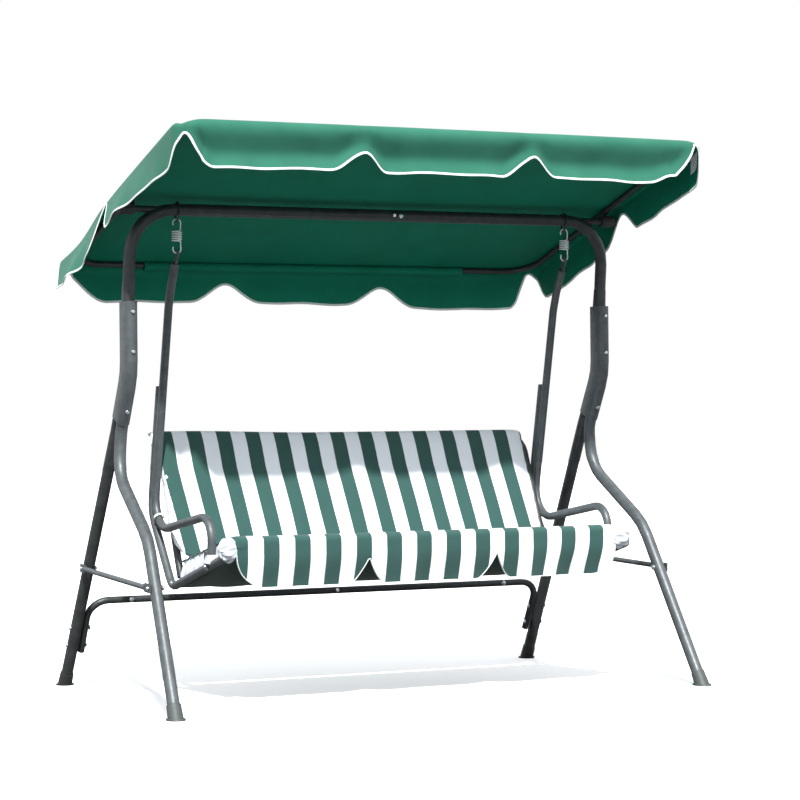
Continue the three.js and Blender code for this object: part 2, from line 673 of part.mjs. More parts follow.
function canopyCover() {
  const top = CANOPY.rod_z + CANOPY.rod / 2 + CLEARANCE + CANOPY.cloth;
  const drop = top - CANOPY.hem_z;
  const inside = plumbBlock(top - CANOPY.cloth, CANOPY.cloth, drop);
  const under = CANOPY.hem_z - 10;
  const endX = CANOPY.width / 2;
  const endY = CANOPY.depth / 2;
  const sideNotch = notch(NOTCH.side_y, 90, NOTCH.side_top, under);
  const cuts = [slabAlongX(sideNotch, -endX - 10, endX + 10)];
  const cornerReach = CANOPY.corner + 20;
  for (const side of [-1, 1]) {
    const x = side * NOTCH.front_x;
    cuts.push(slabAlongY(notch(x, 80, NOTCH.front_top, under), -endY - 10, 0));
    cuts.push(slabAlongY(notch(x, 110, NOTCH.rear_top, under), 0, endY + 60));
    for (const end of [-1, 1]) {
      const box = new THREE.BoxGeometry(cornerReach + 20, cornerReach + 40, NOTCH.corner_top - under);
      const middle = (NOTCH.corner_top + under) / 2;
      cuts.push(box.translate(side * (endX - cornerReach / 2), end * (endY - 30) + 20, middle));
    }
  }
  const cover = plumbBlock(top, 0, drop).subtract(inside);
  return shell(cuts.reduce((left, cut) => left.subtract(solid(cut)), cover));
}

add("canopy_cover", canopyCover(), canopyCloth, canopy);

// ---------------------------------------------------------------- springs

// An extension spring: a close coil with an open hook at each end.
class SpringLine extends THREE.Curve {
  constructor() {
    super();
    this.radius = (SPRING.outer - SPRING.wire) / 2;
    this.middle = (SPRING.top_z + SPRING.bottom_z) / 2;
    this.points = [];
    this.hook(1);
    this.coil();
    this.hook(-1);
  }

  // The hooks stand in the x-z plane and turn about the loop rod and the hanger's eye. Their flats
  // are placed so that one of them lies level at the very end.
  hook(end) {
    const centre = this.middle + end * ((SPRING.top_z - SPRING.bottom_z) / 2 - this.radius);
    const steps = 8;
    for (let i = 0; i <= steps; i++) {
      const angle = (end > 0 ? steps - i : i) * (Math.PI / 6) - Math.PI / 4;
      const x = end * this.radius * Math.cos(angle);
      this.points.push(v3(x, 0, centre + end * this.radius * Math.sin(angle)));
    }
  }

  coil() {
    const perTurn = 8;
    const steps = SPRING.turns * perTurn;
    for (let i = 1; i < steps; i++) {
      const angle = (i / perTurn) * 2 * Math.PI;
      const z = this.middle + SPRING.body / 2 - (i / steps) * SPRING.body;
      this.points.push(v3(this.radius * Math.cos(angle), this.radius * Math.sin(angle), z));
    }
  }

  getPointAt(u) {
    return this.points[Math.round(u * (this.points.length - 1))].clone();
  }

  getTangentAt(u) {
    const i = Math.round(u * (this.points.length - 1));
    const before = this.points[Math.max(0, i - 1)];
    const after = this.points[Math.min(this.points.length - 1, i + 1)];
    return after.clone().sub(before).normalize();
  }
}

function spring() {
  const line = new SpringLine();
  const section = new THREE.Shape(circlePoints(SPRING.wire, 5));
  return new THREE.ExtrudeGeometry(section, { steps: line.points.length - 1, extrudePath: line });
}

bothSides((name, side) => {
  const mesh = add(`${name}_spring`, spring(), zinc);
  mesh.position.set(side * HANGER.x, TOP_BAR.y, 0);
});

// ---------------------------------------------------------------- hangers and seat frame

const HANGER_BEND = { y: 16, z: 1180 };
const ARM_LOW = { y: 172, z: 479, bend: 87 };
const ARM_HIGH = { y: -311, z: 549, bend: 64 };
const ARM_FOOT = { y: -294, z: 422 };
const ARM_TAB = { thick: 3, width: 22, top: 442, bolt_y: -290, bolt_z: 401 };
const hangerSlope = (ARM_LOW.y - HANGER_BEND.y) / (HANGER_BEND.z - ARM_LOW.z);

// The hanger comes down from the spring, turns forward as the armrest and ends at the seat rail.
function hanger(side) {
  const x = side * HANGER.x;
  const eyeZ = SPRING.bottom_z + SPRING.wire / 2 + 4 * CLEARANCE - HANGER.eye / 2;
  const top = v3(x, TOP_BAR.y, eyeZ);
  const bend = v3(x, HANGER_BEND.y, HANGER_BEND.z);
  const corners = [
    [top.clone().lerp(bend, 0.22)],
    [bend, 220],
    [v3(x, ARM_LOW.y, ARM_LOW.z), ARM_LOW.bend],
    [v3(x, ARM_HIGH.y, ARM_HIGH.z), ARM_HIGH.bend],
    [v3(x, ARM_FOOT.y, ARM_FOOT.z)],
  ];
  const tube = solid(pipe(HANGER.outer, HANGER.wall, corners));
  const tongue = new THREE.BoxGeometry(HANGER.flat, 20, 52);
  const neck = new THREE.BoxGeometry(HANGER.flat + 8, 24, 16);
  tongue.translate(0, 0, -16);
  neck.translate(0, 0, -38);
  const lean = Math.atan((bend.y - top.y) / (top.z - bend.z));
  const hole = HANGER.eye / 2;
  const eye = turnedAlongX([[0, -20], [hole, -20], [hole, 20], [0, 20]], 12);
  const flat = solid(tongue).add(solid(neck)).subtract(solid(eye));
  const placed = shell(flat).rotateX(lean).translate(top.x, top.y, top.z);
  return shell(tube.add(solid(placed)).add(armrestTab(side)));
}

// The armrest ends on the seat rail, with a flat tab down the rail's outer side for its bolt.
function armrestTab(side) {
  const inner = HANGER.x + HANGER.outer / 2 + CLEARANCE;
  const low = ARM_TAB.bolt_z - ARM_TAB.width / 2;
  const tab = new THREE.BoxGeometry(ARM_TAB.thick, ARM_TAB.width, ARM_TAB.top - low);
  tab.translate(side * (inner + ARM_TAB.thick / 2), ARM_TAB.bolt_y, (ARM_TAB.top + low) / 2);
  const root = new THREE.BoxGeometry(10, 12, ARM_TAB.top - ARM_FOOT.z - 2);
  root.translate(side * (inner + ARM_TAB.thick - 5), ARM_FOOT.y, (ARM_TAB.top + ARM_FOOT.z + 2) / 2);
  return solid(tab).add(solid(root));
}

const SIDE_TOP_Z = 915;
const BACK_KNEE = { y: 183.5, z: 544, bend: 100 };
const SEAT_HEEL = { y: 14, z: 324, bend: 45 };
const RAIL_FRONT = { y: -405, z: 431 };

// The side tube stands behind the hanger, turns forward under the armrest and becomes the seat rail.
function seatSide(side) {
  const x = side * HANGER.x;
  const spacing = (HANGER.outer + CLEARANCE) / Math.cos(Math.atan(hangerSlope));
  const topY = HANGER_BEND.y + hangerSlope * (HANGER_BEND.z - SIDE_TOP_Z) + spacing;
  const kneeY = topY + hangerSlope * (SIDE_TOP_Z - BACK_KNEE.z);
  return pipe(HANGER.outer, HANGER.wall, [
    [v3(x, topY, SIDE_TOP_Z)],
    [v3(x, kneeY, BACK_KNEE.z), BACK_KNEE.bend],
    [v3(x, SEAT_HEEL.y, SEAT_HEEL.z), SEAT_HEEL.bend],
    [v3(x, RAIL_FRONT.y, RAIL_FRONT.z)],
  ]);
}

function crossRail({ y, z, outer, wall }, halfLength) {
  return pipe(outer, wall, [[v3(-halfLength, y, z)], [v3(halfLength, y, z)]]);
}

// The back frame is an upside-down U that stands on the rear rail.
function backFrame() {
  const low = (side) => v3(side * BACK.half_width, BACK.foot_y, BACK.foot_z);
  const high = (side) => v3(side * BACK.half_width, BACK.top_y, BACK.top_z);
  return pipe(BACK.outer, BACK.wall, [
    [low(-1)],
    [high(-1), BACK.bend],
    [high(1), BACK.bend],
    [low(1)],
  ]);
}

bothSides((name, side) => {
  add(`${name}_hanger`, hanger(side), paint);
  add(`${name}_seat_side`, seatSide(side), paint);
});
const innerReach = HANGER.x - HANGER.outer / 2 - CLEARANCE;
add("seat_front_rail", crossRail(FRONT_RAIL, FRONT_RAIL.half_length), darkPaint);
add("seat_rear_rail", crossRail(REAR_RAIL, innerReach), darkPaint);
add("back_frame", backFrame(), darkPaint);
bothSides((name, side) => {
  const face = HANGER.x + HANGER.outer / 2 + CLEARANCE + ARM_TAB.thick;
  bolt(`${name}_armrest_bolt`, v3(side * face, ARM_TAB.bolt_y, ARM_TAB.bolt_z), v3(side, 0, 0));
});

// ---------------------------------------------------------------- seat and back cloth

// A flat pad between two points (y, z) of its upper face, with its thickness below that face.
function pad(from, to, thick, halfWidth) {
  const along = to.clone().sub(from).normalize();
  const down = v2(-along.y, along.x).multiplyScalar(thick);
  if (down.y > 0) down.negate();
  const points = [from, to, to.clone().add(down), from.clone().add(down)];
  if (THREE.ShapeUtils.area(points) < 0) points.reverse();
  return slabAlongX(points, -halfWidth, halfWidth);
}

// A strip of cloth that hangs in a curve between two points (y, z), a given depth below them.
function hangingStrip(from, to, low, thick, halfWidth) {
  const curve = new THREE.QuadraticBezierCurve(from, low, to);
  const upper = curve.getPoints(10);
  const lower = upper.map((p) => v2(p.x, p.y - thick)).reverse();
  const points = [...upper, ...lower];
  if (THREE.ShapeUtils.area(points) < 0) points.reverse();
  return slabAlongX(points, -halfWidth, halfWidth);
}

const backDirection = v2(BACK.top_y - BACK.foot_y, BACK.top_z - BACK.foot_z).normalize();
const backFacing = v2(-backDirection.y, backDirection.x);

function backPad() {
  const lift = BACK.outer / 2 + CLEARANCE + PAD.thick;
  const at = (z) => {
    const t = (z - BACK.foot_z) / (BACK.top_z - BACK.foot_z);
    return v2(
      BACK.foot_y + t * (BACK.top_y - BACK.foot_y) + backFacing.x * lift,
      z + backFacing.y * lift,
    );
  };
  return pad(at(396), at(BACK.top_z + BACK.outer / 2 + 1), PAD.thick, PAD.half_width);
}

// The seat pad rests on the front rail and falls towards the back.
function seatPad() {
  const lift = FRONT_RAIL.outer / 2 + CLEARANCE + PAD.thick;
  const back = v2(Math.cos(PAD.pitch), -Math.sin(PAD.pitch));
  const over = v2(FRONT_RAIL.y + lift * Math.sin(PAD.pitch), FRONT_RAIL.z + lift * Math.cos(PAD.pitch));
  const front = over.clone().addScaledVector(back, -FRONT_RAIL.outer / 2);
  const rear = over.clone().addScaledVector(back, (2 - over.x) / back.x);
  return pad(front, rear, PAD.thick, PAD.half_width);
}

// The seat cloth's front flap hangs from the front rail in three scallops.
const FLAP = { thick: 3, bottom: 337, peak: 416, peak_x: 207 };

function seatFlap() {
  const face = FRONT_RAIL.y - FRONT_RAIL.outer / 2 - CLEARANCE;
  const top = FRONT_RAIL.z + FRONT_RAIL.outer / 2 - 1;
  const r = 90;
  const outline = new THREE.Shape();
  outline.moveTo(-SEAT.half_width, top);
  outline.lineTo(-SEAT.half_width, FLAP.bottom + r);
  outline.absarc(-SEAT.half_width + r, FLAP.bottom + r, r, Math.PI, 1.5 * Math.PI);
  outline.absarc(SEAT.half_width - r, FLAP.bottom + r, r, 1.5 * Math.PI, 2 * Math.PI);
  outline.lineTo(SEAT.half_width, top);
  let flap = solid(slabAlongY(outline.getPoints(5), face - FLAP.thick, face));
  for (const x of [-FLAP.peak_x, FLAP.peak_x]) {
    const gap = slabAlongY(notch(x, 55, FLAP.peak, FLAP.bottom - 10), face - 20, face + 20);
    flap = flap.subtract(solid(gap));
  }
  return shell(flap);
}

function seatSling() {
  const from = v2(FRONT_RAIL.y + FRONT_RAIL.outer / 2 + 1, FRONT_RAIL.z - 4);
  const to = v2(REAR_RAIL.y - REAR_RAIL.outer / 2 - 1, REAR_RAIL.z + 4);
  return hangingStrip(from, to, v2(-180, 252), 3, SEAT.half_width - 12);
}

add("back_pad", backPad(), stripeCloth);
add("seat_pad", seatPad(), stripeCloth);
add("seat_flap", seatFlap(), stripeCloth);
add("seat_sling", seatSling(), slingCloth);

bench.updateMatrixWorld(true);
const extent = new THREE.Box3().setFromObject(bench, true);
bench.position.y = -(extent.min.y + extent.max.y) / 2;

export default bench;
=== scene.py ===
import json
import math

import bmesh
import bpy
import numpy as np
from mathutils import Matrix, Vector


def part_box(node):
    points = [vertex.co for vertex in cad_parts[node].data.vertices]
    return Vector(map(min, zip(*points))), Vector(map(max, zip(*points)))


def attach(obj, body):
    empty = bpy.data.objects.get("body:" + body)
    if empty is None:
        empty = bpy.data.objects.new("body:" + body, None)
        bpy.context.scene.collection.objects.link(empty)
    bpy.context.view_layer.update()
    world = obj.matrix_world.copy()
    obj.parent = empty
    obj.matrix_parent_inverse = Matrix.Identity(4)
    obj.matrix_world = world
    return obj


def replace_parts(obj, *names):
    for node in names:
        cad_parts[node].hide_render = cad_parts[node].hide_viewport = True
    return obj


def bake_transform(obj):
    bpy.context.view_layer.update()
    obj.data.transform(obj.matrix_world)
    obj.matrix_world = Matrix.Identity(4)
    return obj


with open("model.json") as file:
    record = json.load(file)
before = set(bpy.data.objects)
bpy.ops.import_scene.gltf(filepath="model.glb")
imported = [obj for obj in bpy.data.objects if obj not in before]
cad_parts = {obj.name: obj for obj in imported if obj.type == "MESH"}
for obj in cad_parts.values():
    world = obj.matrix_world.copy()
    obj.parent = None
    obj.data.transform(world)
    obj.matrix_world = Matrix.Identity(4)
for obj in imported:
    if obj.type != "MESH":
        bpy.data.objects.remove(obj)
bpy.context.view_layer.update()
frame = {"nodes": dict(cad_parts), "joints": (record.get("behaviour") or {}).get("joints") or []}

# The looks of a canopy swing bench: cloth, piping, springs, small fasteners and every material.
# Lengths are metres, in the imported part's own frame: X along the bench, -Y its front, Z up.

MM = 0.001

# Cloth
CLOTH = 1.2 * MM  # thickness of the canopy cloth
TAPE_WIDTH = 7.6 * MM  # white binding on the hems
TAPE_THICK = 3.2 * MM
STEP = 9 * MM  # spacing of the mesh along a cloth
SHARP_EDGE = math.radians(38)  # edges of a CAD node that turn further than this stay sharp

# Canopy, in its own frame: origin on the pivot, y to the back, z up, tilted as the frame stands
TILT = math.radians(17.6)
OUTLINE_CORNER = 85 * MM
FRONT_DROP = 146 * MM
REAR_DROP = 110 * MM
SIDE_DROP = 114 * MM
TOP_SAG = 6 * MM
TOP_CLEAR = 1.6 * MM  # from a rod up to the middle of the cloth
OVERHANG = 47 * MM  # from the middle of the front or rear bar out to the fold
BAR_FALL = 12 * MM  # how far the cloth falls over that distance
LEFT_DIP, RIGHT_DIP = 26 * MM, 10 * MM  # how far the side folds hang low near the rear

# Light
SKY = 1.15  # soft fill from all round
KEY = 6.2  # one sun-like key from the front left, high up
KEY_DIRECTION = (0.42, 1.0, -1.24)
KEY_COLOUR = (1.0, 0.985, 0.955)
SKY_COLOUR = (0.93, 0.965, 1.0, 1)

# Camera
EYE = (-3.308, -6.9368, 0.825)
YAW, PITCH, ROLL = math.radians(26.03), math.radians(0.18), math.radians(-0.60)
FOCAL_LENGTH, SENSOR = 113.6, 36  # in mm, as a camera's settings are
SHIFT_X, SHIFT_Y = 0.0024, 0.0084  # shares of the picture's width

# Stripes of the seat cloth
STRIPE_START = -585 * MM  # where a green stripe ends and a white one begins
STRIPE = 48.0 * MM


# ---- numbers and curves


def smooth(t):
    """An S from 0 to 1 while t goes from 0 to 1, and level outside that."""
    t = np.clip(t, 0, 1)
    return t * t * (3 - 2 * t)


def bell(distance, half_width):
    """1 in the middle, falling in an S to 0 at half_width."""
    return smooth(1 - np.abs(distance) / half_width)


def through(x, points):
    """A curve through a few (place, value) points that levels off at each of them."""
    places, values = zip(*points)
    x = np.clip(x, places[0], places[-1])
    i = np.clip(np.searchsorted(places, x, side="right") - 1, 0, len(places) - 2)
    places, values = np.array(places), np.array(values)
    t = smooth((x - places[i]) / (places[i + 1] - places[i]))
    return values[i] + (values[i + 1] - values[i]) * t


def wave(s, *lengths):
    """A fixed sum of sines of these wavelengths: an irregular ripple between about -1 and 1."""
    phase_step = 1.7
    sines = [np.sin(2 * math.pi * s / length + phase_step * i) for i, length in enumerate(lengths)]
    return sum(sines) / len(lengths)


def unit(v):
    """Vectors scaled to a length of 1."""
    return v / np.linalg.norm(v, axis=-1, keepdims=True)


def rounded_path(corners, step):
    """Even points along a bent line. Each corner is (y, z, radius)."""
    corners = [(np.array(c[:2], float), c[2]) for c in corners]
    points = [corners[0][0]]
    bend_points = 13
    for (before, _), (here, radius), (after, _) in zip(corners, corners[1:], corners[2:]):
        a, b = unit(before - here), unit(after - here)
        half = math.acos(np.clip(a @ b, -1, 1)) / 2
        reach = radius / math.tan(half)
        start, end = here + a * reach, here + b * reach
        for t in np.linspace(0, 1, bend_points):
            points.append((1 - t) ** 2 * start + 2 * t * (1 - t) * here + t**2 * end)
    points.append(corners[-1][0])
    points = np.array(points)
    length = np.concatenate([[0], np.cumsum(np.linalg.norm(np.diff(points, axis=0), axis=1))])
    even = np.linspace(0, length[-1], max(3, int(length[-1] / step) + 1))
    return np.stack([np.interp(even, length, points[:, k]) for k in (0, 1)], 1), even


# ---- meshes


def make_piece(name, mesh, material, body=None):
    """Links a mesh as a named piece with its material and the body it rides."""
    piece = bpy.data.objects.new(name, mesh)
    bpy.context.scene.collection.objects.link(piece)
    mesh.materials.append(material)
    for polygon in mesh.polygons:
        polygon.use_smooth = True
    if body:
        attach(piece, body)
    return piece


def net(*layers):
    """Coordinates, each a row, a column or one value, spread over one net of points."""
    return np.stack(np.broadcast_arrays(*layers), -1)


def grid_mesh(name, points, uv=None, wrap_rows=False, wrap_columns=False, caps=False):
    """A mesh through a rows x columns net of points. caps closes both ends of wrapped columns."""
    rows, columns = points.shape[:2]
    index = np.arange(rows * columns).reshape(rows, columns)
    faces = []
    for i in range(rows if wrap_rows else rows - 1):
        for j in range(columns if wrap_columns else columns - 1):
            i2, j2 = (i + 1) % rows, (j + 1) % columns
            faces.append((index[i, j], index[i, j2], index[i2, j2], index[i2, j]))
    if caps:
        faces += [index[0][::-1], index[-1]]
    faces = [[int(k) for k in face] for face in faces]
    mesh = bpy.data.meshes.new(name)
    mesh.from_pydata(points.reshape(-1, 3).tolist(), [], faces)
    if uv is not None:
        layer = mesh.uv_layers.new(name="cloth")
        flat = uv.reshape(-1, 2)
        loops = np.zeros(len(mesh.loops), int)
        mesh.loops.foreach_get("vertex_index", loops)
        layer.data.foreach_set("uv", flat[loops].ravel())
    return mesh


def weld(mesh):
    """Joins points that lie on each other, and turns every face outwards."""
    shape = bmesh.new()
    shape.from_mesh(mesh)
    bmesh.ops.remove_doubles(shape, verts=shape.verts, dist=0.01 * MM)
    bmesh.ops.recalc_face_normals(shape, faces=shape.faces)
    shape.to_mesh(mesh)
    shape.free()


def swept_mesh(name, path, section, up, closed=False):
    """section, points of (sideways, up), carried along path with its up axis near the given one."""
    path = np.array(path, float)
    if closed:
        tangent = np.roll(path, -1, 0) - np.roll(path, 1, 0)
    else:
        tangent = np.gradient(path, axis=0)
    tangent = unit(tangent)
    side = unit(np.cross(tangent, up))
    over = np.cross(side, tangent)
    rings = path[:, None] + section[None, :, :1] * side[:, None] + section[None, :, 1:] * over[:, None]
    length = np.concatenate([[0], np.cumsum(np.linalg.norm(np.diff(path, axis=0), axis=1))])
    around = np.linspace(0, 2 * math.pi * np.abs(section).max(), len(section))
    uv = net(length[:, None], around[None])
    return grid_mesh(name, rings, uv, wrap_rows=closed, wrap_columns=True, caps=not closed)


def oval(width, height, count=12):
    """An elliptical section for swept_mesh."""
    angles = np.arange(count) * 2 * math.pi / count
    return np.stack([width / 2 * np.cos(angles), height / 2 * np.sin(angles)], 1)


def thicken(piece, thickness):
    """Gives a one-sided cloth its thickness, half to each side."""
    layer = piece.modifiers.new("thickness", "SOLIDIFY")
    layer.thickness = thickness
    layer.offset = 0
    return piece


# ---- materials


def srgb(red, green, blue):
    """A colour written as 0-255 screen values, as the linear colour that a shader takes."""
    def linear(v):
        v /= 255
        return v / 12.92 if v <= 0.04045 else ((v + 0.055) / 1.055) ** 2.4

    return (linear(red), linear(green), linear(blue), 1)


class Shader:
    """A node material under construction."""

    def __init__(self, name):
        self.material = bpy.data.materials.new(name)
        self.material.use_nodes = True
        self.tree = self.material.node_tree
        self.surface = self.tree.nodes["Principled BSDF"]

    def node(self, kind, inputs=None, **settings):
        """A new node. inputs are values, or other nodes' outputs to link to."""
        made = self.tree.nodes.new(kind)
        for key, value in settings.items():
            setattr(made, key, value)
        for key, value in (inputs or {}).items():
            self.feed(made.inputs[key], value)
        return made

    def feed(self, socket, value):
        if isinstance(value, bpy.types.NodeSocket):
            self.tree.links.new(value, socket)
        else:
            socket.default_value = value

    def set(self, **values):
        """Sets inputs of the surface shader; Base_Color stands for "Base Color"."""
        for key, value in values.items():
            self.feed(self.surface.inputs[key.replace("_", " ")], value)

    def math(self, operation, a, b=0.0):
        return self.node("ShaderNodeMath", {0: a, 1: b}, operation=operation).outputs[0]

    def position(self):
        return self.node("ShaderNodeTexCoord").outputs["Object"]

    def cloth_position(self):
        """Metres along and across the cloth."""
        return self.node("ShaderNodeUVMap", uv_map="cloth").outputs["UV"]

    def noise(self, where, scale, detail=3.0, roughness=0.55):
        inputs = {"Vector": where, "Scale": scale, "Detail": detail, "Roughness": roughness}
        return self.node("ShaderNodeTexNoise", inputs).outputs["Fac"]

    def between(self, value, low, high, out_low=0.0, out_high=1.0):
        """value's way from low to high, as a way from out_low to out_high."""
        inputs = {"Value": value, "From Min": low, "From Max": high}
        inputs.update({"To Min": out_low, "To Max": out_high})
        return self.node("ShaderNodeMapRange", inputs).outputs["Result"]

    def mix(self, share, first, second):
        """A colour that is first at a share of 0 and second at 1."""
        made = self.node("ShaderNodeMix", data_type="RGBA")
        self.feed(made.inputs["Factor"], share)
        self.feed(made.inputs[6], first)
        self.feed(made.inputs[7], second)
        return made.outputs[2]

    def bump(self, height, distance, strength, normal=None):
        inputs = {"Height": height, "Distance": distance, "Strength": strength}
        made = self.node("ShaderNodeBump", inputs)
        if normal is not None:
            self.feed(made.inputs["Normal"], normal)
        return made.outputs["Normal"]

    def weave(self, pitch):
        """Height of a plain weave: threads over and under in both directions."""
        axes = self.node("ShaderNodeSeparateXYZ", {"Vector": self.cloth_position()})
        turns = 2 * math.pi / pitch
        u = self.math("SINE", self.math("MULTIPLY", axes.outputs["X"], turns))
        v = self.math("SINE", self.math("MULTIPLY", axes.outputs["Y"], turns))
        return self.math("MULTIPLY", u, v)


def painted_steel(name, colour, light):
    """Powder coat: fine orange peel, faint mottling and thin scuffs."""
    s = Shader(name)
    where = s.position()
    mottle = s.between(s.noise(where, 35, 4), 0.35, 0.65)
    scuff = s.between(s.noise(where, 260, 6, 0.7), 0.63, 0.74)
    base = s.mix(mottle, colour, light)
    s.set(Base_Color=s.mix(s.math("MULTIPLY", scuff, 0.35), base, srgb(150, 155, 158)))
    s.set(Metallic=0.3, Roughness=s.between(s.noise(where, 90, 3), 0.3, 0.7, 0.42, 0.54))
    s.set(Coat_Weight=0.12, Coat_Roughness=0.35)
    s.set(Normal=s.bump(s.noise(where, 1400, 2), 0.12 * MM, 0.35))
    return s.material


def zinc_plate():
    """Bright zinc with faint cloudy grain."""
    s = Shader("bright_zinc")
    where = s.position()
    cloud = s.noise(where, 420, 4)
    s.set(Base_Color=s.mix(cloud, srgb(196, 200, 202), srgb(232, 236, 238)))
    s.set(Metallic=1.0, Roughness=s.between(cloud, 0.3, 0.7, 0.2, 0.38))
    s.set(Normal=s.bump(s.noise(where, 2600, 2), 0.08 * MM, 0.3))
    return s.material


def spring_wire_painted_highlight():
    """Drawn wire in a near-white, barely metallic colour, paler than the plated bolts: painted highlight
    that keeps the springs bright in the canopy's shade.
    """
    s = Shader("spring_wire_painted_highlight")
    drawn = s.noise(s.position(), 700, 3)
    s.set(Base_Color=s.mix(drawn, srgb(222, 227, 229), srgb(246, 249, 250)))
    s.set(Metallic=0.1, Roughness=s.between(drawn, 0.3, 0.7, 0.28, 0.42), Specular_IOR_Level=0.9)
    s.set(Normal=s.bump(drawn, 0.06 * MM, 0.3))
    return s.material


def moulded_plastic(name, dark, light):
    """Matt moulded plastic with a fine grain and dust in it."""
    s = Shader(name)
    where = s.position()
    s.set(Base_Color=s.mix(s.noise(where, 60, 5), dark, light))
    s.set(Roughness=s.between(s.noise(where, 240, 3), 0.3, 0.7, 0.48, 0.66))
    s.set(Normal=s.bump(s.noise(where, 1900, 3), 0.2 * MM, 0.5))
    return s.material


def let_light_through(s, colour, share):
    """Thin cloth: some of the light that falls on one face glows on the other."""
    glow = s.node("ShaderNodeBsdfTranslucent", {"Color": colour})
    both = s.node("ShaderNodeMixShader", {0: share, 1: s.surface.outputs[0], 2: glow.outputs[0]})
    s.feed(s.tree.nodes["Material Output"].inputs["Surface"], both.outputs[0])


def green_cloth(name, dark, light, sheen):
    """Green woven polyester with slubs and faint creases."""
    s = Shader(name)
    where = s.position()
    base = s.mix(s.between(s.noise(where, 7, 4), 0.3, 0.7), dark, light)
    slub = s.between(s.noise(s.cloth_position(), 900, 2), 0.55, 0.8)
    base = s.mix(s.math("MULTIPLY", slub, 0.2), base, srgb(66, 142, 122))
    s.set(Base_Color=base, Roughness=0.7, Specular_IOR_Level=0.15)
    s.set(Sheen_Weight=sheen, Sheen_Roughness=0.5, Sheen_Tint=srgb(225, 245, 238))
    creases = s.bump(s.noise(where, 16, 3, 0.5), 2.2 * MM, 0.35)
    s.set(Normal=s.bump(s.weave(1.5 * MM), 0.22 * MM, 0.5, creases))
    let_light_through(s, srgb(20, 110, 80), 0.03)
    return s.material


def striped_cloth():
    """Green and white stripes printed on a plain weave, with slightly frayed edges."""
    s = Shader("striped_cloth")
    axes = s.node("ShaderNodeSeparateXYZ", {"Vector": s.cloth_position()})
    stray = s.math("SUBTRACT", s.noise(s.cloth_position(), 500, 2), 0.5)
    fray = s.math("MULTIPLY", stray, 1.2 * MM)
    across = s.math("ADD", s.math("SUBTRACT", axes.outputs["X"], STRIPE_START), fray)
    turn = s.math("FRACT", s.math("DIVIDE", across, 2 * STRIPE))
    edge = 0.6 * MM / (2 * STRIPE)
    green_begins = s.between(turn, 0.5 - edge, 0.5 + edge)
    green_ends = s.between(turn, 0.0, edge, 1.0, 0.0)
    green_share = s.math("MAXIMUM", green_begins, green_ends)
    shade = s.noise(s.position(), 9, 4)
    green = s.mix(shade, srgb(40, 76, 72), srgb(48, 84, 80))
    white = s.mix(shade, srgb(230, 235, 242), srgb(240, 244, 249))
    s.set(Base_Color=s.mix(green_share, white, green), Roughness=0.8, Specular_IOR_Level=0.25)
    s.set(Sheen_Weight=0.2, Sheen_Roughness=0.5)
    creases = s.bump(s.noise(s.position(), 26, 3, 0.5), 1.8 * MM, 0.3)
    s.set(Normal=s.bump(s.weave(1.3 * MM), 0.22 * MM, 0.5, creases))
    return s.material


def plain_cloth(name, dark, light, pitch):
    """A plain woven tape or cloth in one colour."""
    s = Shader(name)
    shade = s.noise(s.position(), 40, 4)
    s.set(Base_Color=s.mix(shade, dark, light), Roughness=0.82, Specular_IOR_Level=0.2)
    s.set(Sheen_Weight=0.2, Sheen_Roughness=0.5)
    s.set(Normal=s.bump(s.weave(pitch), 0.2 * MM, 0.5))
    return s.material


def pale_floor():
    """Pale to the camera, and darker to the light it throws back up under the bench."""
    s = Shader("studio_floor")
    seen = s.mix(s.noise(s.position(), 2, 3), srgb(238, 239, 240), srgb(244, 244, 244))
    camera_ray = s.node("ShaderNodeLightPath").outputs["Is Camera Ray"]
    s.set(Base_Color=s.mix(camera_ray, srgb(98, 98, 98), seen))
    s.set(Roughness=0.9, Specular_IOR_Level=0.1)
    s.set(Emission_Color=(1, 1, 1, 1), Emission_Strength=s.math("MULTIPLY", camera_ray, 0.24))
    return s.material


PAINT = painted_steel("frame_paint", srgb(74, 80, 83), srgb(88, 94, 97))
DARK_PAINT = painted_steel("dark_paint", srgb(46, 50, 52), srgb(58, 62, 64))
ZINC = zinc_plate()
# painted shade: a darker copy of the frame paint for the rear legs
REAR_LEG_SHADED_PAINT = painted_steel("rear_leg_paint_shaded", srgb(50, 53, 55), srgb(64, 67, 69))
PLASTIC = moulded_plastic("black_plastic", srgb(36, 38, 40), srgb(54, 57, 59))
FOOT_PLASTIC = moulded_plastic("foot_plastic", srgb(60, 66, 67), srgb(74, 80, 80))
# painted shade: a darker copy of the foot plastic for the rear feet
SHADED_REAR_FOOT_PLASTIC = moulded_plastic("rear_foot_plastic_shaded", srgb(36, 38, 39), srgb(50, 52, 53))
# painted highlight: the springs' near-white wire
SPRING_WIRE_PAINTED_HIGHLIGHT = spring_wire_painted_highlight()
CANOPY_CLOTH = green_cloth("canopy_cloth", srgb(40, 102, 84), srgb(48, 112, 93), 0.1)
# The canopy cloth's inner face and bar sleeves: painted shade, a more saturated green with no sheen for
# the shaded underside.
SHADED_CANOPY_CLOTH = green_cloth("canopy_cloth_shaded", srgb(10, 118, 92), srgb(14, 126, 100), 0.0)
STRIPED_CLOTH = striped_cloth()
WHITE_CLOTH = plain_cloth("white_cloth", srgb(190, 197, 206), srgb(208, 214, 222), 1.2 * MM)
TAPE = plain_cloth("white_tape", srgb(214, 226, 222), srgb(240, 246, 244), 1.1 * MM)
PATCH_CLOTH = plain_cloth("grey_patch", srgb(226, 228, 236), srgb(240, 242, 248), 0.9 * MM)
SLING_CLOTH = plain_cloth("sling_cloth", srgb(12, 44, 36), srgb(20, 60, 48), 2.4 * MM)
NODE_MATERIALS = {
    "frame_paint": PAINT,
    "dark_paint": DARK_PAINT,
    "bright_zinc": ZINC,
    "black_plastic": PLASTIC,
    "canopy_cloth": CANOPY_CLOTH,
    "striped_cloth": STRIPED_CLOTH,
    "sling_cloth": SLING_CLOTH,
}


# ---- CAD nodes


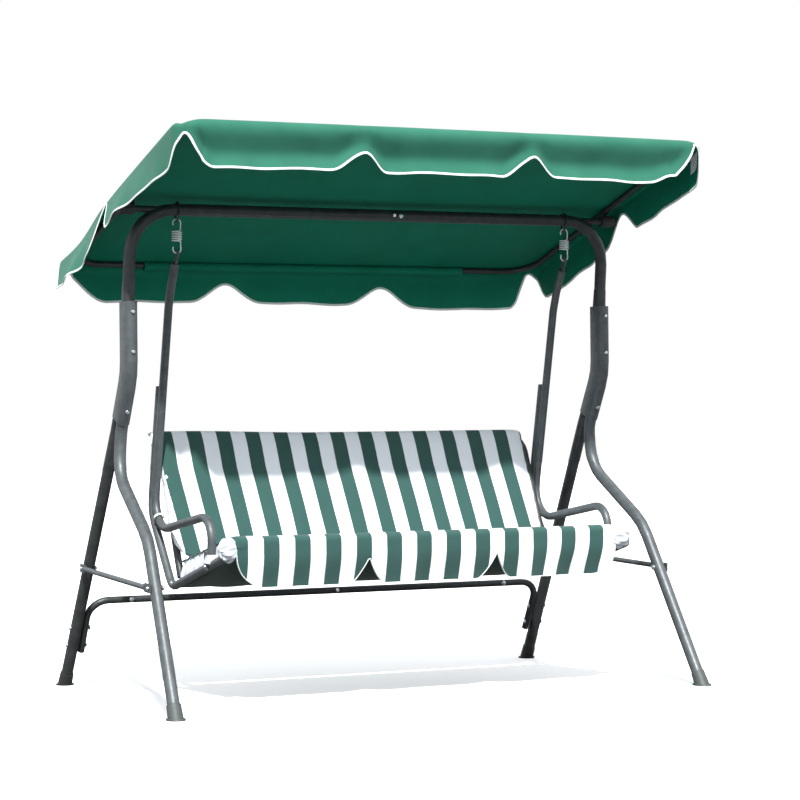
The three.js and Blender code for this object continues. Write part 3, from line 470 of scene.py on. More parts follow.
def smooth_tubes_group():
    """Geometry nodes that shade a faceted tube smooth and keep its real edges sharp."""
    group = bpy.data.node_groups.new("smooth_tubes", "GeometryNodeTree")
    for way in ("INPUT", "OUTPUT"):
        group.interface.new_socket("Geometry", in_out=way, socket_type="NodeSocketGeometry")
    start = group.nodes.new("NodeGroupInput")
    merge = group.nodes.new("GeometryNodeMergeByDistance")
    merge.inputs["Distance"].default_value = 0.01 * MM
    forget = group.nodes.new("GeometryNodeRemoveAttribute")
    forget.inputs["Name"].default_value = "custom_normal"
    faces = group.nodes.new("GeometryNodeSetShadeSmooth")
    edges = group.nodes.new("GeometryNodeSetShadeSmooth")
    edges.domain = "EDGE"
    end = group.nodes.new("NodeGroupOutput")
    chain = (start, merge, forget, faces, edges, end)
    for before, after in zip(chain, chain[1:]):
        group.links.new(before.outputs["Geometry"], after.inputs["Geometry"])
    angle = group.nodes.new("GeometryNodeInputMeshEdgeAngle")
    gentle = group.nodes.new("FunctionNodeCompare")
    gentle.operation = "LESS_THAN"
    gentle.inputs["B"].default_value = SHARP_EDGE
    group.links.new(angle.outputs["Unsigned Angle"], gentle.inputs["A"])
    group.links.new(gentle.outputs["Result"], edges.inputs["Shade Smooth"])
    return group


def finish_cad_nodes():
    """Gives every CAD node its material and smooth shading."""
    group = smooth_tubes_group()
    for name, node in frame["nodes"].items():
        material = NODE_MATERIALS[node.data.materials[0].name.split(".")[0]]
        # the rear legs and rear feet take darker copies of their materials: painted shade
        if name.endswith("rear_leg"):
            material = REAR_LEG_SHADED_PAINT
        if name.endswith("front_foot"):
            material = FOOT_PLASTIC
        if name.endswith("rear_foot"):
            material = SHADED_REAR_FOOT_PLASTIC
        node.data.materials[0] = material
        node.modifiers.new("smooth_tubes", "NODES").node_group = group


finish_cad_nodes()


# ---- canopy


JOINTS = {joint["name"]: joint for joint in frame["joints"]}
PIVOT = np.array(JOINTS["canopy_tilt"]["pos_m"])
TURN = np.array(Matrix.Rotation(-TILT, 3, "X"))


def to_canopy(points):
    """World points in the canopy's own frame."""
    return (np.asarray(points) - PIVOT) @ TURN


def from_canopy(points):
    """Points of the canopy's own frame in the world."""
    return np.asarray(points) @ TURN.T + PIVOT


def canopy_box(node):
    """A CAD node's box in the canopy's own frame."""
    points = to_canopy([vertex.co[:] for vertex in frame["nodes"][node].data.vertices])
    return points.min(0), points.max(0)


REAR_BAR = canopy_box("canopy_rear_bar")
ROD = REAR_BAR[1][2] - REAR_BAR[0][2]
ROD_TOP = REAR_BAR[1][2]
ROD_Y = REAR_BAR[1][1] - ROD / 2
ROD_X = REAR_BAR[1][0] - ROD / 2
HALF_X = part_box("canopy_cover")[1].x
HALF_Y = ROD_Y + OVERHANG
TOP = ROD_TOP + TOP_CLEAR
FRONT_ROLL = 28 * MM  # how far the cloth rolls out over the front and rear bars
SIDE_ROLL = 10 * MM
TOP_RINGS, FLAP_RINGS = 30, 22  # rings of the mesh over the top, and down to the hem


def cloth_outline():
    """The top's rounded outline: points, outward directions, distances along it and side numbers.

    Sides are 0 front, 1 right, 2 rear and 3 left; a corner runs from one number to the next.
    """
    inner_x, inner_y = HALF_X - OUTLINE_CORNER, HALF_Y - OUTLINE_CORNER
    corners = [(inner_x, -inner_y), (inner_x, inner_y), (-inner_x, inner_y), (-inner_x, -inner_y)]
    points, outward, sides = [], [], []
    for side in range(4):
        heading = -math.pi / 2 + side * math.pi / 2
        normal = np.array([math.cos(heading), math.sin(heading)])
        start, end = np.array(corners[side - 1]), np.array(corners[side])
        count = int(np.linalg.norm(end - start) / STEP)
        for t in np.arange(count) / count:
            points.append(start + (end - start) * t + normal * OUTLINE_CORNER)
            outward.append(normal)
            sides.append(side)
        arc = int(OUTLINE_CORNER * math.pi / 2 / (0.7 * STEP))
        for t in np.arange(arc) / arc:
            angle = heading + t * math.pi / 2
            direction = np.array([math.cos(angle), math.sin(angle)])
            points.append(end + direction * OUTLINE_CORNER)
            outward.append(direction)
            sides.append(side + t)
    points, outward, sides = np.array(points), np.array(outward), np.array(sides)
    steps = np.linalg.norm(np.roll(points, -1, 0) - points, axis=1)
    along = np.concatenate([[0], np.cumsum(steps)[:-1]])
    return points, outward, along, sides, steps.sum()


OUTLINE, OUTWARD, ALONG, SIDE, ROUND_TRIP = cloth_outline()


def by_side(front, right, rear, left):
    """A value for each side, turning smoothly into the next round a corner."""
    values = np.array([front, right, rear, left, front])
    whole = SIDE.astype(int)
    return values[whole] + (values[whole + 1] - values[whole]) * smooth(SIDE - whole)


def place_along(side, x=None, y=None, corner=False):
    """Distance along the outline of a place on a side, or of the corner that ends the side."""
    if corner:
        return np.interp(side + 0.5, SIDE, ALONG)
    on_side = SIDE == side
    values = OUTLINE[on_side][:, 0 if x is not None else 1]
    order = np.argsort(values)
    return np.interp(x if x is not None else y, values[order], ALONG[on_side][order])


def hem_depths():
    """How far the cloth hangs below its fold: full scallops with an arch between each two."""
    full = by_side(FRONT_DROP, SIDE_DROP, REAR_DROP, SIDE_DROP)
    # the left flap and the rear flap's right end hang lower
    full += 24 * MM * by_side(0, 0, 0, 1) * bell(OUTLINE[:, 1] - 0.2, 0.26)
    full += 12 * MM * by_side(0, 0, 1, 0) * smooth((OUTLINE[:, 0] - 0.28) / 0.06)
    # each arch: its peak; its flanks before and after it and the depth left there, in mm; sharpness
    arches = [
        (place_along(0, x=-292 * MM), 112, 74, 88, 1.35),
        (place_along(0, x=243 * MM), 112, 74, 80, 1.35),
        (place_along(2, x=-270 * MM), 125, 125, 51, 1.2),
        (place_along(2, x=276 * MM), 125, 125, 57, 1.2),
        (place_along(1, y=-44 * MM), 112, 112, 34, 1.1),
        (place_along(3, y=52 * MM), 62, 96, 12, 1.0),
        (place_along(0, corner=True) - 25 * MM, 120, 104, 18, 1.0),
        (place_along(0, corner=True) - 125 * MM, 75, 120, 124, 1.0),
        (place_along(3, corner=True) - 11 * MM, 82, 112, 36, 1.2),
        (place_along(1, corner=True), 112, 90, 8, 1.0),
        (place_along(2, corner=True), 165, 150, 8, 1.0),
    ]
    depth = full.copy()
    for centre, before, after, least, sharpness in arches:
        away = (ALONG - centre + ROUND_TRIP / 2) % ROUND_TRIP - ROUND_TRIP / 2
        arch = bell(away, np.where(away < 0, before, after) * MM) ** sharpness
        depth = np.minimum(depth, full + (least * MM - full) * arch)
    depth += 3 * MM * wave(ALONG, 0.41, 0.19) * smooth((depth - 30 * MM) / (60 * MM))
    return depth, depth / full


def hang_angles(t, fullness):
    """How far out from plumb the cloth hangs at a share t of its depth, in radians."""
    y = OUTLINE[:, 1]
    # in degrees: the left flap from front to rear, and the front flap from fold to hem
    left = through(y, [(-0.575, 0), (-0.12, 22), (0.16, 16), (0.30, 26), (0.39, 24), (0.575, 6)])
    tuck = through(np.array(t), [(0, 6), (0.22, 6), (0.50, -28), (0.62, -28), (0.88, 26), (1, 26)])
    front = tuck * smooth((fullness - 0.35) / 0.5)
    ripple = 7 * wave(ALONG, 0.33, 0.21, 0.13) * t
    angle = by_side(1, 0, 0, 0) * front
    angle += by_side(0, 0, 0, 1) * left * smooth(t / 0.3)
    angle += by_side(0, 0.1, 0.25, 0) * tuck * fullness
    return np.radians(angle + ripple * fullness)


def top_height(points, inset):
    """Height of the cloth over the rods, for points a distance inset from the outline."""
    x, y = points[..., 0], points[..., 1]
    past_bar = smooth((np.abs(y) - ROD_Y + 20 * MM) / (20 * MM))
    fall = BAR_FALL * past_bar * np.clip(1 - inset / OVERHANG, 0, 1) ** 2
    past_rafter = np.clip(1 - (HALF_X - np.abs(x)) / (HALF_X - ROD_X), 0, 1) ** 2
    dip = past_rafter * np.where(x < 0, LEFT_DIP, RIGHT_DIP) * bell(y - 0.34, 0.30)
    middle_x = 1 - np.clip(np.abs(x) / ROD_X, 0, 1) ** 2
    middle_y = 1 - np.clip(np.abs(y) / ROD_Y, 0, 1) ** 2
    return TOP - fall - dip - TOP_SAG * middle_x * middle_y


def canopy_net():
    """Rings of points from the middle of the top out to the fold, and then down to the hem."""
    depth, fullness = hem_depths()
    roll = by_side(FRONT_ROLL, SIDE_ROLL, FRONT_ROLL, SIDE_ROLL)
    spine_x = np.clip(OUTLINE[:, 0], HALF_Y - HALF_X, HALF_X - HALF_Y)
    spine = np.stack([spine_x, np.zeros(len(OUTLINE))], 1)
    rings, uvs = [], []
    base = OUTLINE - OUTWARD * roll[:, None]
    for t in np.linspace(0, 1, TOP_RINGS) ** 0.55:
        plan = spine + (base - spine) * t
        inset = roll + np.linalg.norm(base - spine, axis=1) * (1 - t)
        level = top_height(plan, inset)
        rings.append(from_canopy(np.column_stack([plan, level])))
        uvs.append(plan)
    here = rings[-1]
    out_of_fold = unit(rings[-1] - rings[-2])
    level_out = unit(out_of_fold * [1, 1, 0])
    start = np.arctan2(np.linalg.norm(out_of_fold[:, :2], axis=1), -out_of_fold[:, 2])
    slack, rolled = 1.05, 0.57  # cloth used for a depth, since it bows, and for a roll
    length = slack * depth + rolled * roll
    corner_share = bell(SIDE % 1 - 0.5, 0.5)
    pucker = 0.9 * MM * wave(ALONG, 0.027, 0.019) * corner_share
    run = np.zeros(len(OUTLINE))
    for i in range(FLAP_RINGS):
        t = (i + 0.5) / FLAP_RINGS
        roll_share = 1 - smooth(run / (roll * 2.0))
        angle = start * roll_share + hang_angles(t, fullness) * (1 - roll_share)
        stride = length / FLAP_RINGS
        step_out = level_out * (stride * np.sin(angle))[:, None]
        step_down = [0, 0, 1] * (stride * np.cos(angle))[:, None]
        here = here + step_out - step_down
        run = run + stride
        rings.append(here + level_out * (pucker * bell(t - 0.3, 0.35))[:, None])
        uvs.append(base + OUTWARD * run[:, None])
    return np.array(rings), np.array(uvs), level_out


CANOPY_NET, CANOPY_UV, LEVEL_OUT = canopy_net()


def canopy_cover():
    """The canopy's cloth, green outside and darker inside: the inside is a copy of the cloth with painted
    shade.
    """
    mesh = grid_mesh("canopy_cover_cloth", CANOPY_NET, CANOPY_UV, wrap_columns=True)
    weld(mesh)
    cover = make_piece("canopy_cover_cloth", mesh, CANOPY_CLOTH, "canopy")
    # the inner shell takes the copy of the canopy cloth with painted shade
    mesh.materials.append(SHADED_CANOPY_CLOTH)
    thicken(cover, CLOTH).modifiers["thickness"].material_offset = 1
    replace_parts(cover, "canopy_cover")


def hem_tape():
    """White tape folded over the hem all the way round."""
    down = unit(CANOPY_NET[-1] - CANOPY_NET[-3])
    path = CANOPY_NET[-1] - down * (TAPE_WIDTH / 2 - 1 * MM)
    mesh = swept_mesh("canopy_hem_tape", path, oval(TAPE_THICK, TAPE_WIDTH), down, closed=True)
    make_piece("canopy_hem_tape", mesh, TAPE, "canopy")


def blank_patch():
    """A small unprinted patch sewn inside the front right corner."""
    columns = np.flatnonzero((SIDE >= 0.82) & (SIDE <= 1) & (OUTLINE[:, 1] < -HALF_Y + 118 * MM))
    rows = slice(TOP_RINGS + 4, TOP_RINGS + 14)
    inside = CANOPY_NET[rows][:, columns] - LEVEL_OUT[columns] * 2.2 * MM
    mesh = grid_mesh("blank_patch", inside, CANOPY_UV[rows][:, columns])
    thicken(make_piece("blank_patch", mesh, PATCH_CLOTH, "canopy"), 0.6 * MM)


def bar_sleeve(name, direction):
    """A tunnel of canopy cloth that holds the front or rear bar under the cover."""
    centre_y, centre_z = direction * ROD_Y, ROD_TOP - ROD / 2 - 2.5 * MM
    x = np.arange(-565 * MM, 560 * MM, STEP)[:, None]
    angle = np.linspace(0, 2 * math.pi, 24, endpoint=False)[None]
    radius = 12.4 * MM + 0.5 * MM * wave(x + 0.02 * angle, 0.083, 0.047) * np.sin(angle * 2 + x * 9)
    points = net(x, centre_y + radius * np.cos(angle), centre_z + radius * np.sin(angle))
    mesh = grid_mesh(name, from_canopy(points), net(x, radius * angle), wrap_columns=True)
    # the sleeve takes the copy of the canopy cloth with painted shade
    thicken(make_piece(name, mesh, SHADED_CANOPY_CLOTH, "canopy"), 0.8 * MM)


canopy_cover()
hem_tape()
bar_sleeve("front_bar_sleeve", -1)
bar_sleeve("rear_bar_sleeve", 1)
blank_patch()


# ---- seat and back cloth

RAIL_LOW, RAIL_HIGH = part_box("seat_front_rail")
RAIL_Y = (RAIL_LOW.y + RAIL_HIGH.y) / 2
RAIL_Z = (RAIL_LOW.z + RAIL_HIGH.z) / 2
RAIL_R = (RAIL_HIGH.z - RAIL_LOW.z) / 2
SEAT_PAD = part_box("seat_pad")
BACK_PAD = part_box("back_pad")
BACK_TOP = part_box("back_frame")[1]
BACK_TUBE = 11 * MM  # radius of the back frame's tube
FLAP_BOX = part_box("seat_flap")

SIDE_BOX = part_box("left_seat_side")
SIDE_X = -(SIDE_BOX[0].x + SIDE_BOX[1].x) / 2
SIDE_R = (SIDE_BOX[1].x - SIDE_BOX[0].x) / 2
SIDE_FRONT = np.array([SIDE_BOX[0].y, 431 * MM])  # (y, z) of the front end of a side rail's middle
SIDE_HEEL = np.array([30 * MM, 324 * MM])  # and of its heel, below the hanger
ARM_FOOT_Y = -278 * MM  # where an armrest stands on its side rail
SLING_LOW = 345 * MM
PAD_HALF = 5 * MM  # half the thickness of the padded cloth
SEAT_LIFT = 22 * MM  # from the front rail up to the middle of the seat cloth
SEAT_LEFT, SEAT_RIGHT = -632 * MM, 609 * MM
CREASE_Z = SEAT_PAD[0].z + 8 * MM  # where the seat cloth meets the back
SEAT_EDGE_Y = RAIL_Y - RAIL_R - 5 * MM  # where it turns down into the flap
FLAP_SET_IN = 12 * MM  # how far the flap's left edge is inside the seat's
SEAT_STRIPES = (-585 * MM, 48.08 * MM)  # the place of one stripe's edge, and the stripes' width
BACK_STRIPES = (-587 * MM, 47.63 * MM)
COLUMN = 5 * MM  # spacing of the mesh across the seat and the back


def side_rail_height(y):
    """Height of a side rail's middle at a place y."""
    share = (y - SIDE_FRONT[0]) / (SIDE_HEEL[0] - SIDE_FRONT[0])
    return SIDE_FRONT[1] + share * (SIDE_HEEL[1] - SIDE_FRONT[1])


def face_normals(path):
    """The direction the left-hand side of a (y, z) path looks in."""
    along = unit(np.gradient(path, axis=0))
    return np.stack([-along[:, 1], along[:, 0]], 1)


def padded_sheet(name, rows, material, slot, *replaced):
    """A closed cloth with two faces on the seat, in place of CAD nodes.

    A row is (x, y, z, y and z of the facing direction, half thickness, place across and along).
    """
    rows = np.array([np.broadcast_arrays(*row) for row in rows])
    x, y, z, normal_y, normal_z, half, across, along = rows.transpose(1, 0, 2)
    upper = net(x, y + normal_y * half, z + normal_z * half)
    lower = net(x, y - normal_y * half, z - normal_z * half)
    flat = net(across, along)
    loop = np.concatenate([upper, lower[:, ::-1]], 1)
    uv = np.concatenate([flat, flat[:, ::-1]], 1)
    mesh = grid_mesh(name, loop, uv, wrap_columns=True, caps=True)
    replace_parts(make_piece(name, mesh, material, "seat"), *replaced)
    return net(x, y, z)


def flap_hem(x):
    """Height of the flap's hem: three scallops that meet in points, with rounded outer corners."""
    point_x, rise, half_width = 207 * MM, 77 * MM, 58 * MM
    left_corner, right_corner = 100 * MM, 68 * MM
    near = np.minimum(np.abs(x - point_x), np.abs(x + point_x))
    inside = np.clip(1 - near / half_width, 0, 1)
    hem = FLAP_BOX[0].z + 4 * MM + rise * inside**1.8
    past_left = SEAT_LEFT + FLAP_SET_IN + left_corner - x
    past_right = x - SEAT_RIGHT + right_corner
    for corner, past in ((left_corner, past_left), (right_corner, past_right)):
        past = np.clip(past, 0, corner)
        hem = hem + corner - np.sqrt(corner**2 - past**2)
    return hem


def striped(x, start, width):
    """Place across the cloth, for stripes of a width counted from a start."""
    return STRIPE_START + (x - start) * STRIPE / width


def seat_cover():
    """Seat cloth from the crease at the back over the front rail, down into the scalloped flap."""
    crease = (SEAT_PAD[1].y - 4 * MM, CREASE_Z, 0)
    lip = (SEAT_EDGE_Y, RAIL_Z + RAIL_R + SEAT_LIFT, 18 * MM)
    flap_top = (SEAT_EDGE_Y, RAIL_Z, 0)
    path, along = rounded_path([crease, lip, flap_top], 8 * MM)
    normal = -face_normals(path)
    columns = int((SEAT_RIGHT - SEAT_LEFT) / COLUMN)
    share = np.linspace(0, 1, columns)
    flat_x = SEAT_LEFT + (SEAT_RIGHT - SEAT_LEFT) * share
    rows = []
    seat_length = along[-1]
    for (y, z), (ny, nz), s in zip(path, normal, along):
        inward = FLAP_SET_IN * smooth((s - seat_length + 60 * MM) / (50 * MM))
        x = np.maximum(flat_x, SEAT_LEFT + inward)
        edge = np.minimum(share, 1 - share) * (SEAT_RIGHT - SEAT_LEFT)
        thin = smooth((seat_length - s) / (60 * MM)) * 0.8 + 0.2
        end = smooth(s / (14 * MM)) * 0.7 + 0.3
        half = PAD_HALF * thin * end * (0.25 + 0.75 * smooth(edge / (16 * MM)))
        sag = 9 * MM * np.sin(math.pi * np.clip(s / seat_length, 0, 1)) * smooth(edge / 0.15)
        pucker = 2.5 * MM * wave(s + 0.3 * flat_x, 0.061, 0.037) * (1 - smooth(edge / (70 * MM)))
        seams = sum(bell(seat_length - s - place, 7 * MM) for place in (30 * MM, 52 * MM))
        shift = pucker - sag * 0.6 - 2.6 * MM * seams
        across = striped(flat_x, *SEAT_STRIPES)
        rows.append((x, y + ny * shift, z + nz * shift, ny, nz, half, across, s))
    hem = flap_hem(flat_x)
    flap_rows = 17
    for i in range(flap_rows):
        z = RAIL_Z + (hem - RAIL_Z) * (i + 1) / flap_rows
        drop = RAIL_Z - z
        low = smooth(drop / 0.12)
        x = np.maximum(flat_x, SEAT_LEFT + FLAP_SET_IN)
        billow = 9 * MM * wave(flat_x, 0.40, 0.23, 0.097) * low
        sweep = 10 * MM * smooth((flat_x - 0.30) / 0.12) * smooth((0.62 - flat_x) / 0.06) * low
        y = SEAT_EDGE_Y + billow + 24 * MM * smooth((drop - 0.02) / 0.12)
        across = striped(flat_x, *SEAT_STRIPES) + sweep
        rows.append((x, y, z, -1, 0, 1 * MM, across, seat_length + drop))
    slot = "striped_cloth"
    places = padded_sheet("seat_cover_cloth", rows, STRIPED_CLOTH, slot, "seat_pad", "seat_flap")
    flap = places[len(path) - 1 :]
    flap_piping(np.concatenate([flap[:-1, 0], flap[-1, 2:-1], flap[-2::-1, -1]]))


def flap_piping(path):
    """White piping down the flap's left edge, along its hem and up its right edge."""
    mesh = swept_mesh("flap_piping", path, oval(TAPE_THICK, 7 * MM), np.array([0, -1, 0.0]))
    make_piece("flap_piping", mesh, TAPE, "seat")


BACK_SLOPE = math.atan2(168, 405)  # how far the back leans over the height of its frame
BACK_UP = np.array([math.sin(BACK_SLOPE), math.cos(BACK_SLOPE)])
BACK_FACE = np.array([-BACK_UP[1], BACK_UP[0]])


def back_cover():
    """A pocket of cloth over the back frame: behind it, over its top tube and down the front."""
    top = np.array(BACK_TOP)[1:] - BACK_TUBE
    wrap, front = BACK_TUBE + 2.5 * MM, BACK_TUBE + 6 * MM
    hem = top - BACK_UP * 95 * MM - BACK_FACE * wrap
    rear_top = top + BACK_UP * wrap - BACK_FACE * wrap
    front_top = top + BACK_UP * wrap + BACK_FACE * front
    length = (front_top[1] - (BACK_PAD[0].z + 6 * MM)) / BACK_UP[1]
    foot = front_top - BACK_UP * length
    path, along = rounded_path([(*hem, 0), (*rear_top, wrap), (*front_top, wrap), (*foot, 0)], 8 * MM)
    normal = face_normals(path)
    top_at = along[np.argmax(path[:, 1])]
    total = along[-1]
    columns = int((SEAT_RIGHT - SEAT_LEFT) / COLUMN)
    share = np.linspace(0, 1, columns)
    rows = []
    for (y, z), (ny, nz), s in zip(path, normal, along):
        from_top = abs(s - top_at)
        ear = 23 * MM * smooth((z - 0.69) / 0.05)
        rounding = 22 * MM
        cut = rounding - math.sqrt(rounding**2 - max(0, rounding - from_top) ** 2)
        low = 70 * MM
        below = max(0, low - (total - s)) if s > top_at else 0
        cut += low - math.sqrt(low**2 - below**2)
        x_left, x_right = SEAT_LEFT - ear + cut, SEAT_RIGHT - cut
        x = x_left + (x_right - x_left) * share
        edge = np.minimum(x - x_left, x_right - x)
        padded = smooth((s - top_at) / (50 * MM))
        half = (1.2 * MM + (PAD_HALF - 1.2 * MM) * padded) * (0.25 + 0.75 * smooth(edge / (16 * MM)))
        ripple = 1.6 * MM * wave(x, 0.37, 0.21) * wave(s + 0.2, 0.31, 0.17) * smooth(edge / 0.05) * padded
        pucker = 2.2 * MM * wave(s, 0.052, 0.034) * (1 - smooth(edge / (40 * MM))) * padded
        down = np.clip((s - top_at) / (total - top_at), 0, 1)
        hollow = -5 * MM * padded * smooth(edge / 0.2) * np.sin(math.pi * down)
        shift = ripple + pucker + hollow
        z = z + 9 * MM * smooth((-x - 0.1) / 0.45) * smooth((z - 0.6) / 0.15)
        lean = 24 * MM * np.clip((down - 0.3) / 0.7, 0, 1)
        gathered = x - lean - 10 * MM * down * smooth((-0.36 - x) / 0.2)
        across = striped(gathered, *BACK_STRIPES)
        rows.append((x, y + ny * shift, z + nz * shift, ny, nz, half, across, s))
    padded_sheet("back_cover_cloth", rows, STRIPED_CLOTH, "striped_cloth", "back_pad")


def sling():
    """Dark mesh cloth that hangs below the seat between the two side rails."""
    low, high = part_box("seat_sling")
    start = np.array([low.y, high.z])
    end = np.array([high.y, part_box("seat_rear_rail")[1].z - 8 * MM])
    middle = (start + end) / 2
    pull = np.array([middle[0] + 6 * MM, 2 * SLING_LOW - middle[1]])
    t = np.linspace(0, 1, 40)[:, None]
    path = (1 - t) ** 2 * start + 2 * t * (1 - t) * pull + t**2 * end
    normal = face_normals(path)
    x = np.linspace(-SIDE_X + SIDE_R, SIDE_X - SIDE_R, 130)
    rows = []
    for i, ((y, z), (ny, nz)) in enumerate(zip(path, normal)):
        share = i / (len(path) - 1)
        edge = SIDE_X - SIDE_R - np.abs(x)
        ripple = 3 * MM * wave(x + 0.1, 0.43, 0.27, 0.15) * math.sin(math.pi * share)
        rise = (side_rail_height(y) - 6 * MM - z) * np.clip(1 - edge / 0.11, 0, 1) ** 2
        rows.append((x, y, z + ripple + rise, ny, nz, 1 * MM, x, i * STEP))
    padded_sheet("seat_sling_cloth", rows, SLING_CLOTH, "sling_cloth", "seat_sling")


def seat_height(y):
    """Height of the seat cloth at a place y."""
    front, back = RAIL_Z + RAIL_R + SEAT_LIFT, CREASE_Z
    front_y, back_y = RAIL_Y - RAIL_R, SEAT_PAD[1].y
    return front + (back - front) * (y - front_y) / (back_y - front_y)


def side_skirt(name, side):
    """White puckered cloth from the seat's edge down to the inner side of the side rail."""
    edge = SEAT_RIGHT if side > 0 else -SEAT_LEFT
    y = np.linspace(-366 * MM, -12 * MM, 90)[None]
    t = np.linspace(0, 1, 16)[:, None]
    high = seat_height(y)
    low = side_rail_height(y) + SIDE_R * 0.6
    bottom_x = SIDE_X - SIDE_R + 3 * MM
    out = edge - 4 * MM + (bottom_x - edge + 4 * MM) * smooth(t * 1.15)
    folds = wave(y + 0.02 * t, 0.061, 0.037, 0.023)
    x = out + 3.4 * MM * folds * np.sin(math.pi * np.clip(t, 0, 1)) ** 0.7
    z = high + (low - high) * t + 2 * MM * folds * t
    mesh = grid_mesh(name, net(side * x, y, z), net(y, (high - low) * t))
    thicken(make_piece(name, mesh, WHITE_CLOTH, "seat"), 1.6 * MM)


def gathered_end(name, side):
    """White cloth gathered round the end of the front rail."""
    along = np.linspace(0, 1, 26)[:, None]
    angle = np.linspace(0, 2 * math.pi, 56, endpoint=False)[None]
    start = SEAT_RIGHT - 4 * MM if side > 0 else -SEAT_LEFT - 10 * MM
    x = start + (668 * MM - start) * along
    belly = np.sqrt(np.clip(1 - (along * 1.06 - 0.36) ** 2 / 0.5, 0.02, 1))
    folds = np.sin(7 * angle + 4 * along) * 0.6 + np.sin(12 * angle - 6 * along) * 0.4
    radius = 0.9 * (belly + 0.2 * folds * (0.5 + 0.5 * along))
    y = RAIL_Y - 2 * MM + 27 * MM * radius * np.cos(angle)
    z = RAIL_Z - 5 * MM + 37 * MM * radius * np.sin(angle)
    uv = net(x, 24 * MM * angle)
    mesh = grid_mesh(name, net(side * x, y, z), uv, wrap_columns=True, caps=True)
    make_piece(name, mesh, WHITE_CLOTH, "seat")


def foot_wrap(name, side):
    """White cloth bunched round the foot of the armrest."""
    low = side_rail_height(ARM_FOOT_Y) + 6 * MM
    heights = np.linspace(low, low + 26 * MM, 10)[:, None]
    angle = np.linspace(0, 2 * math.pi, 40, endpoint=False)[None]
    share = (heights - heights[0]) / (heights[-1] - heights[0])
    folds = 1.6 * MM * wave(angle * 0.1 + 0.1 * heights, 0.13, 0.07)
    radius = SIDE_R + 3 * MM + 5 * MM * (1 - share) + folds
    x = side * SIDE_X + radius * np.cos(angle)
    y = ARM_FOOT_Y - 0.13 * (heights - heights[0]) + radius * np.sin(angle) * 1.25
    mesh = grid_mesh(name, net(x, y, heights), net(radius * angle, heights), wrap_columns=True)
    thicken(make_piece(name, mesh, WHITE_CLOTH, "seat"), 1.6 * MM)


def tie_loop():
    """A narrow white tie round the low bend of the left hanger."""
    centre = np.array([-SIDE_X, 138 * MM, 527 * MM])
    slope = unit(np.array([0, 0.68, 0.73]))
    across = np.array([1.0, 0, 0])
    over = np.cross(slope, across)
    angle = np.linspace(0, 2 * math.pi, 40, endpoint=False)[:, None]
    path = centre + 14.6 * MM * (np.cos(angle) * across + np.sin(angle) * over)
    mesh = swept_mesh("left_tie_loop", path, oval(2.4 * MM, 8 * MM), slope, closed=True)
    make_piece("left_tie_loop", mesh, TAPE, "seat")


def back_edge():
    """White edge of the back's pocket, rolled round the left upright of the back frame."""
    foot_y, foot_z = 38 * MM, 352 * MM
    top_x, top_y, top_z = np.array(BACK_TOP) - BACK_TUBE
    z = np.arange(426 * MM, 716 * MM, 5 * MM)
    y = foot_y + (z - foot_z) * (top_y - foot_y) / (top_z - foot_z)
    corner = 70 * MM
    past = np.clip(492 * MM - z, 0, corner)
    x = top_x - corner + np.sqrt(corner**2 - past**2) + 1.5 * MM * wave(z, 0.071, 0.043)
    path = net(-x, y - 6 * MM, z)
    mesh = swept_mesh("left_back_edge", path, oval(28 * MM, 30 * MM, 20), np.array([0, -1.0, 0.4]))
    make_piece("left_back_edge", mesh, WHITE_CLOTH, "seat")


seat_cover()
back_cover()
sling()
back_edge()
for side_name, side in (("left", -1), ("right", 1)):
    side_skirt(f"{side_name}_side_skirt", side)
    gathered_end(f"{side_name}_gathered_end", side)
    foot_wrap(f"{side_name}_foot_wrap", side)
tie_loop()


# ---- springs

COIL_RADIUS = 14 * MM
COIL_WIRE = 4 * MM
COIL_BODY = 33 * MM
COIL_TURNS = 5
COIL_LEAD = 5 * MM  # straight wire between the body and a hook
HOOK_RADIUS = 12.5 * MM
HOOK_SWEEP = (math.radians(-30), math.radians(210))


def coil_path(x, y, low, high):
    """Wire centre line of a tension spring with a round hook at each end, from the top down."""
    middle = (low + high) / 2
    top_hook, bottom_hook = high - COIL_WIRE / 2 - HOOK_RADIUS, low + COIL_WIRE / 2 + HOOK_RADIUS
    points = []
    for t in np.linspace(*HOOK_SWEEP, 22):
        points.append((-HOOK_RADIUS * math.cos(t), 0, top_hook + HOOK_RADIUS * math.sin(t)))
    points.append((HOOK_RADIUS, 0, middle + COIL_BODY / 2 + COIL_LEAD))
    for t in np.linspace(0, 1, COIL_TURNS * 26):
        angle = t * COIL_TURNS * 2 * math.pi
        widen = smooth(min(t, 1 - t) * COIL_TURNS * 2)
        radius = COIL_RADIUS * (0.8 + 0.2 * widen)
        height = middle + (0.5 - t) * COIL_BODY
        points.append((radius * math.cos(angle), radius * math.sin(angle), height))
    points.append((HOOK_RADIUS, 0, middle - COIL_BODY / 2 - COIL_LEAD))
    for t in np.linspace(*HOOK_SWEEP, 22):
        points.append((HOOK_RADIUS * math.cos(t), 0, bottom_hook - HOOK_RADIUS * math.sin(t)))
    points = np.array(points)
    for _ in range(2):
        points[1:-1] = (points[:-2] + 2 * points[1:-1] + points[2:]) / 4
    return points + [x, y, 0]


def tension_spring(name, node):
    """A finely coiled spring in place of the CAD's plain one. It stretches from the rod to the seat."""
    low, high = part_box(node)
    x, y = (low.x + high.x) / 2, (low.y + high.y) / 2
    path = coil_path(x, y, low.z, high.z)
    rarely_along = np.array([0.06, 1.0, 0.13])
    mesh = swept_mesh(name, path, oval(COIL_WIRE, COIL_WIRE, 8), rarely_along)
    # the spring takes the near-white wire with painted highlight
    piece = make_piece(name, mesh, SPRING_WIRE_PAINTED_HIGHLIGHT)
    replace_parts(piece, node)
    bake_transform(piece)


tension_spring("left_fine_spring", "left_spring")
tension_spring("right_fine_spring", "right_spring")


# ---- small fasteners

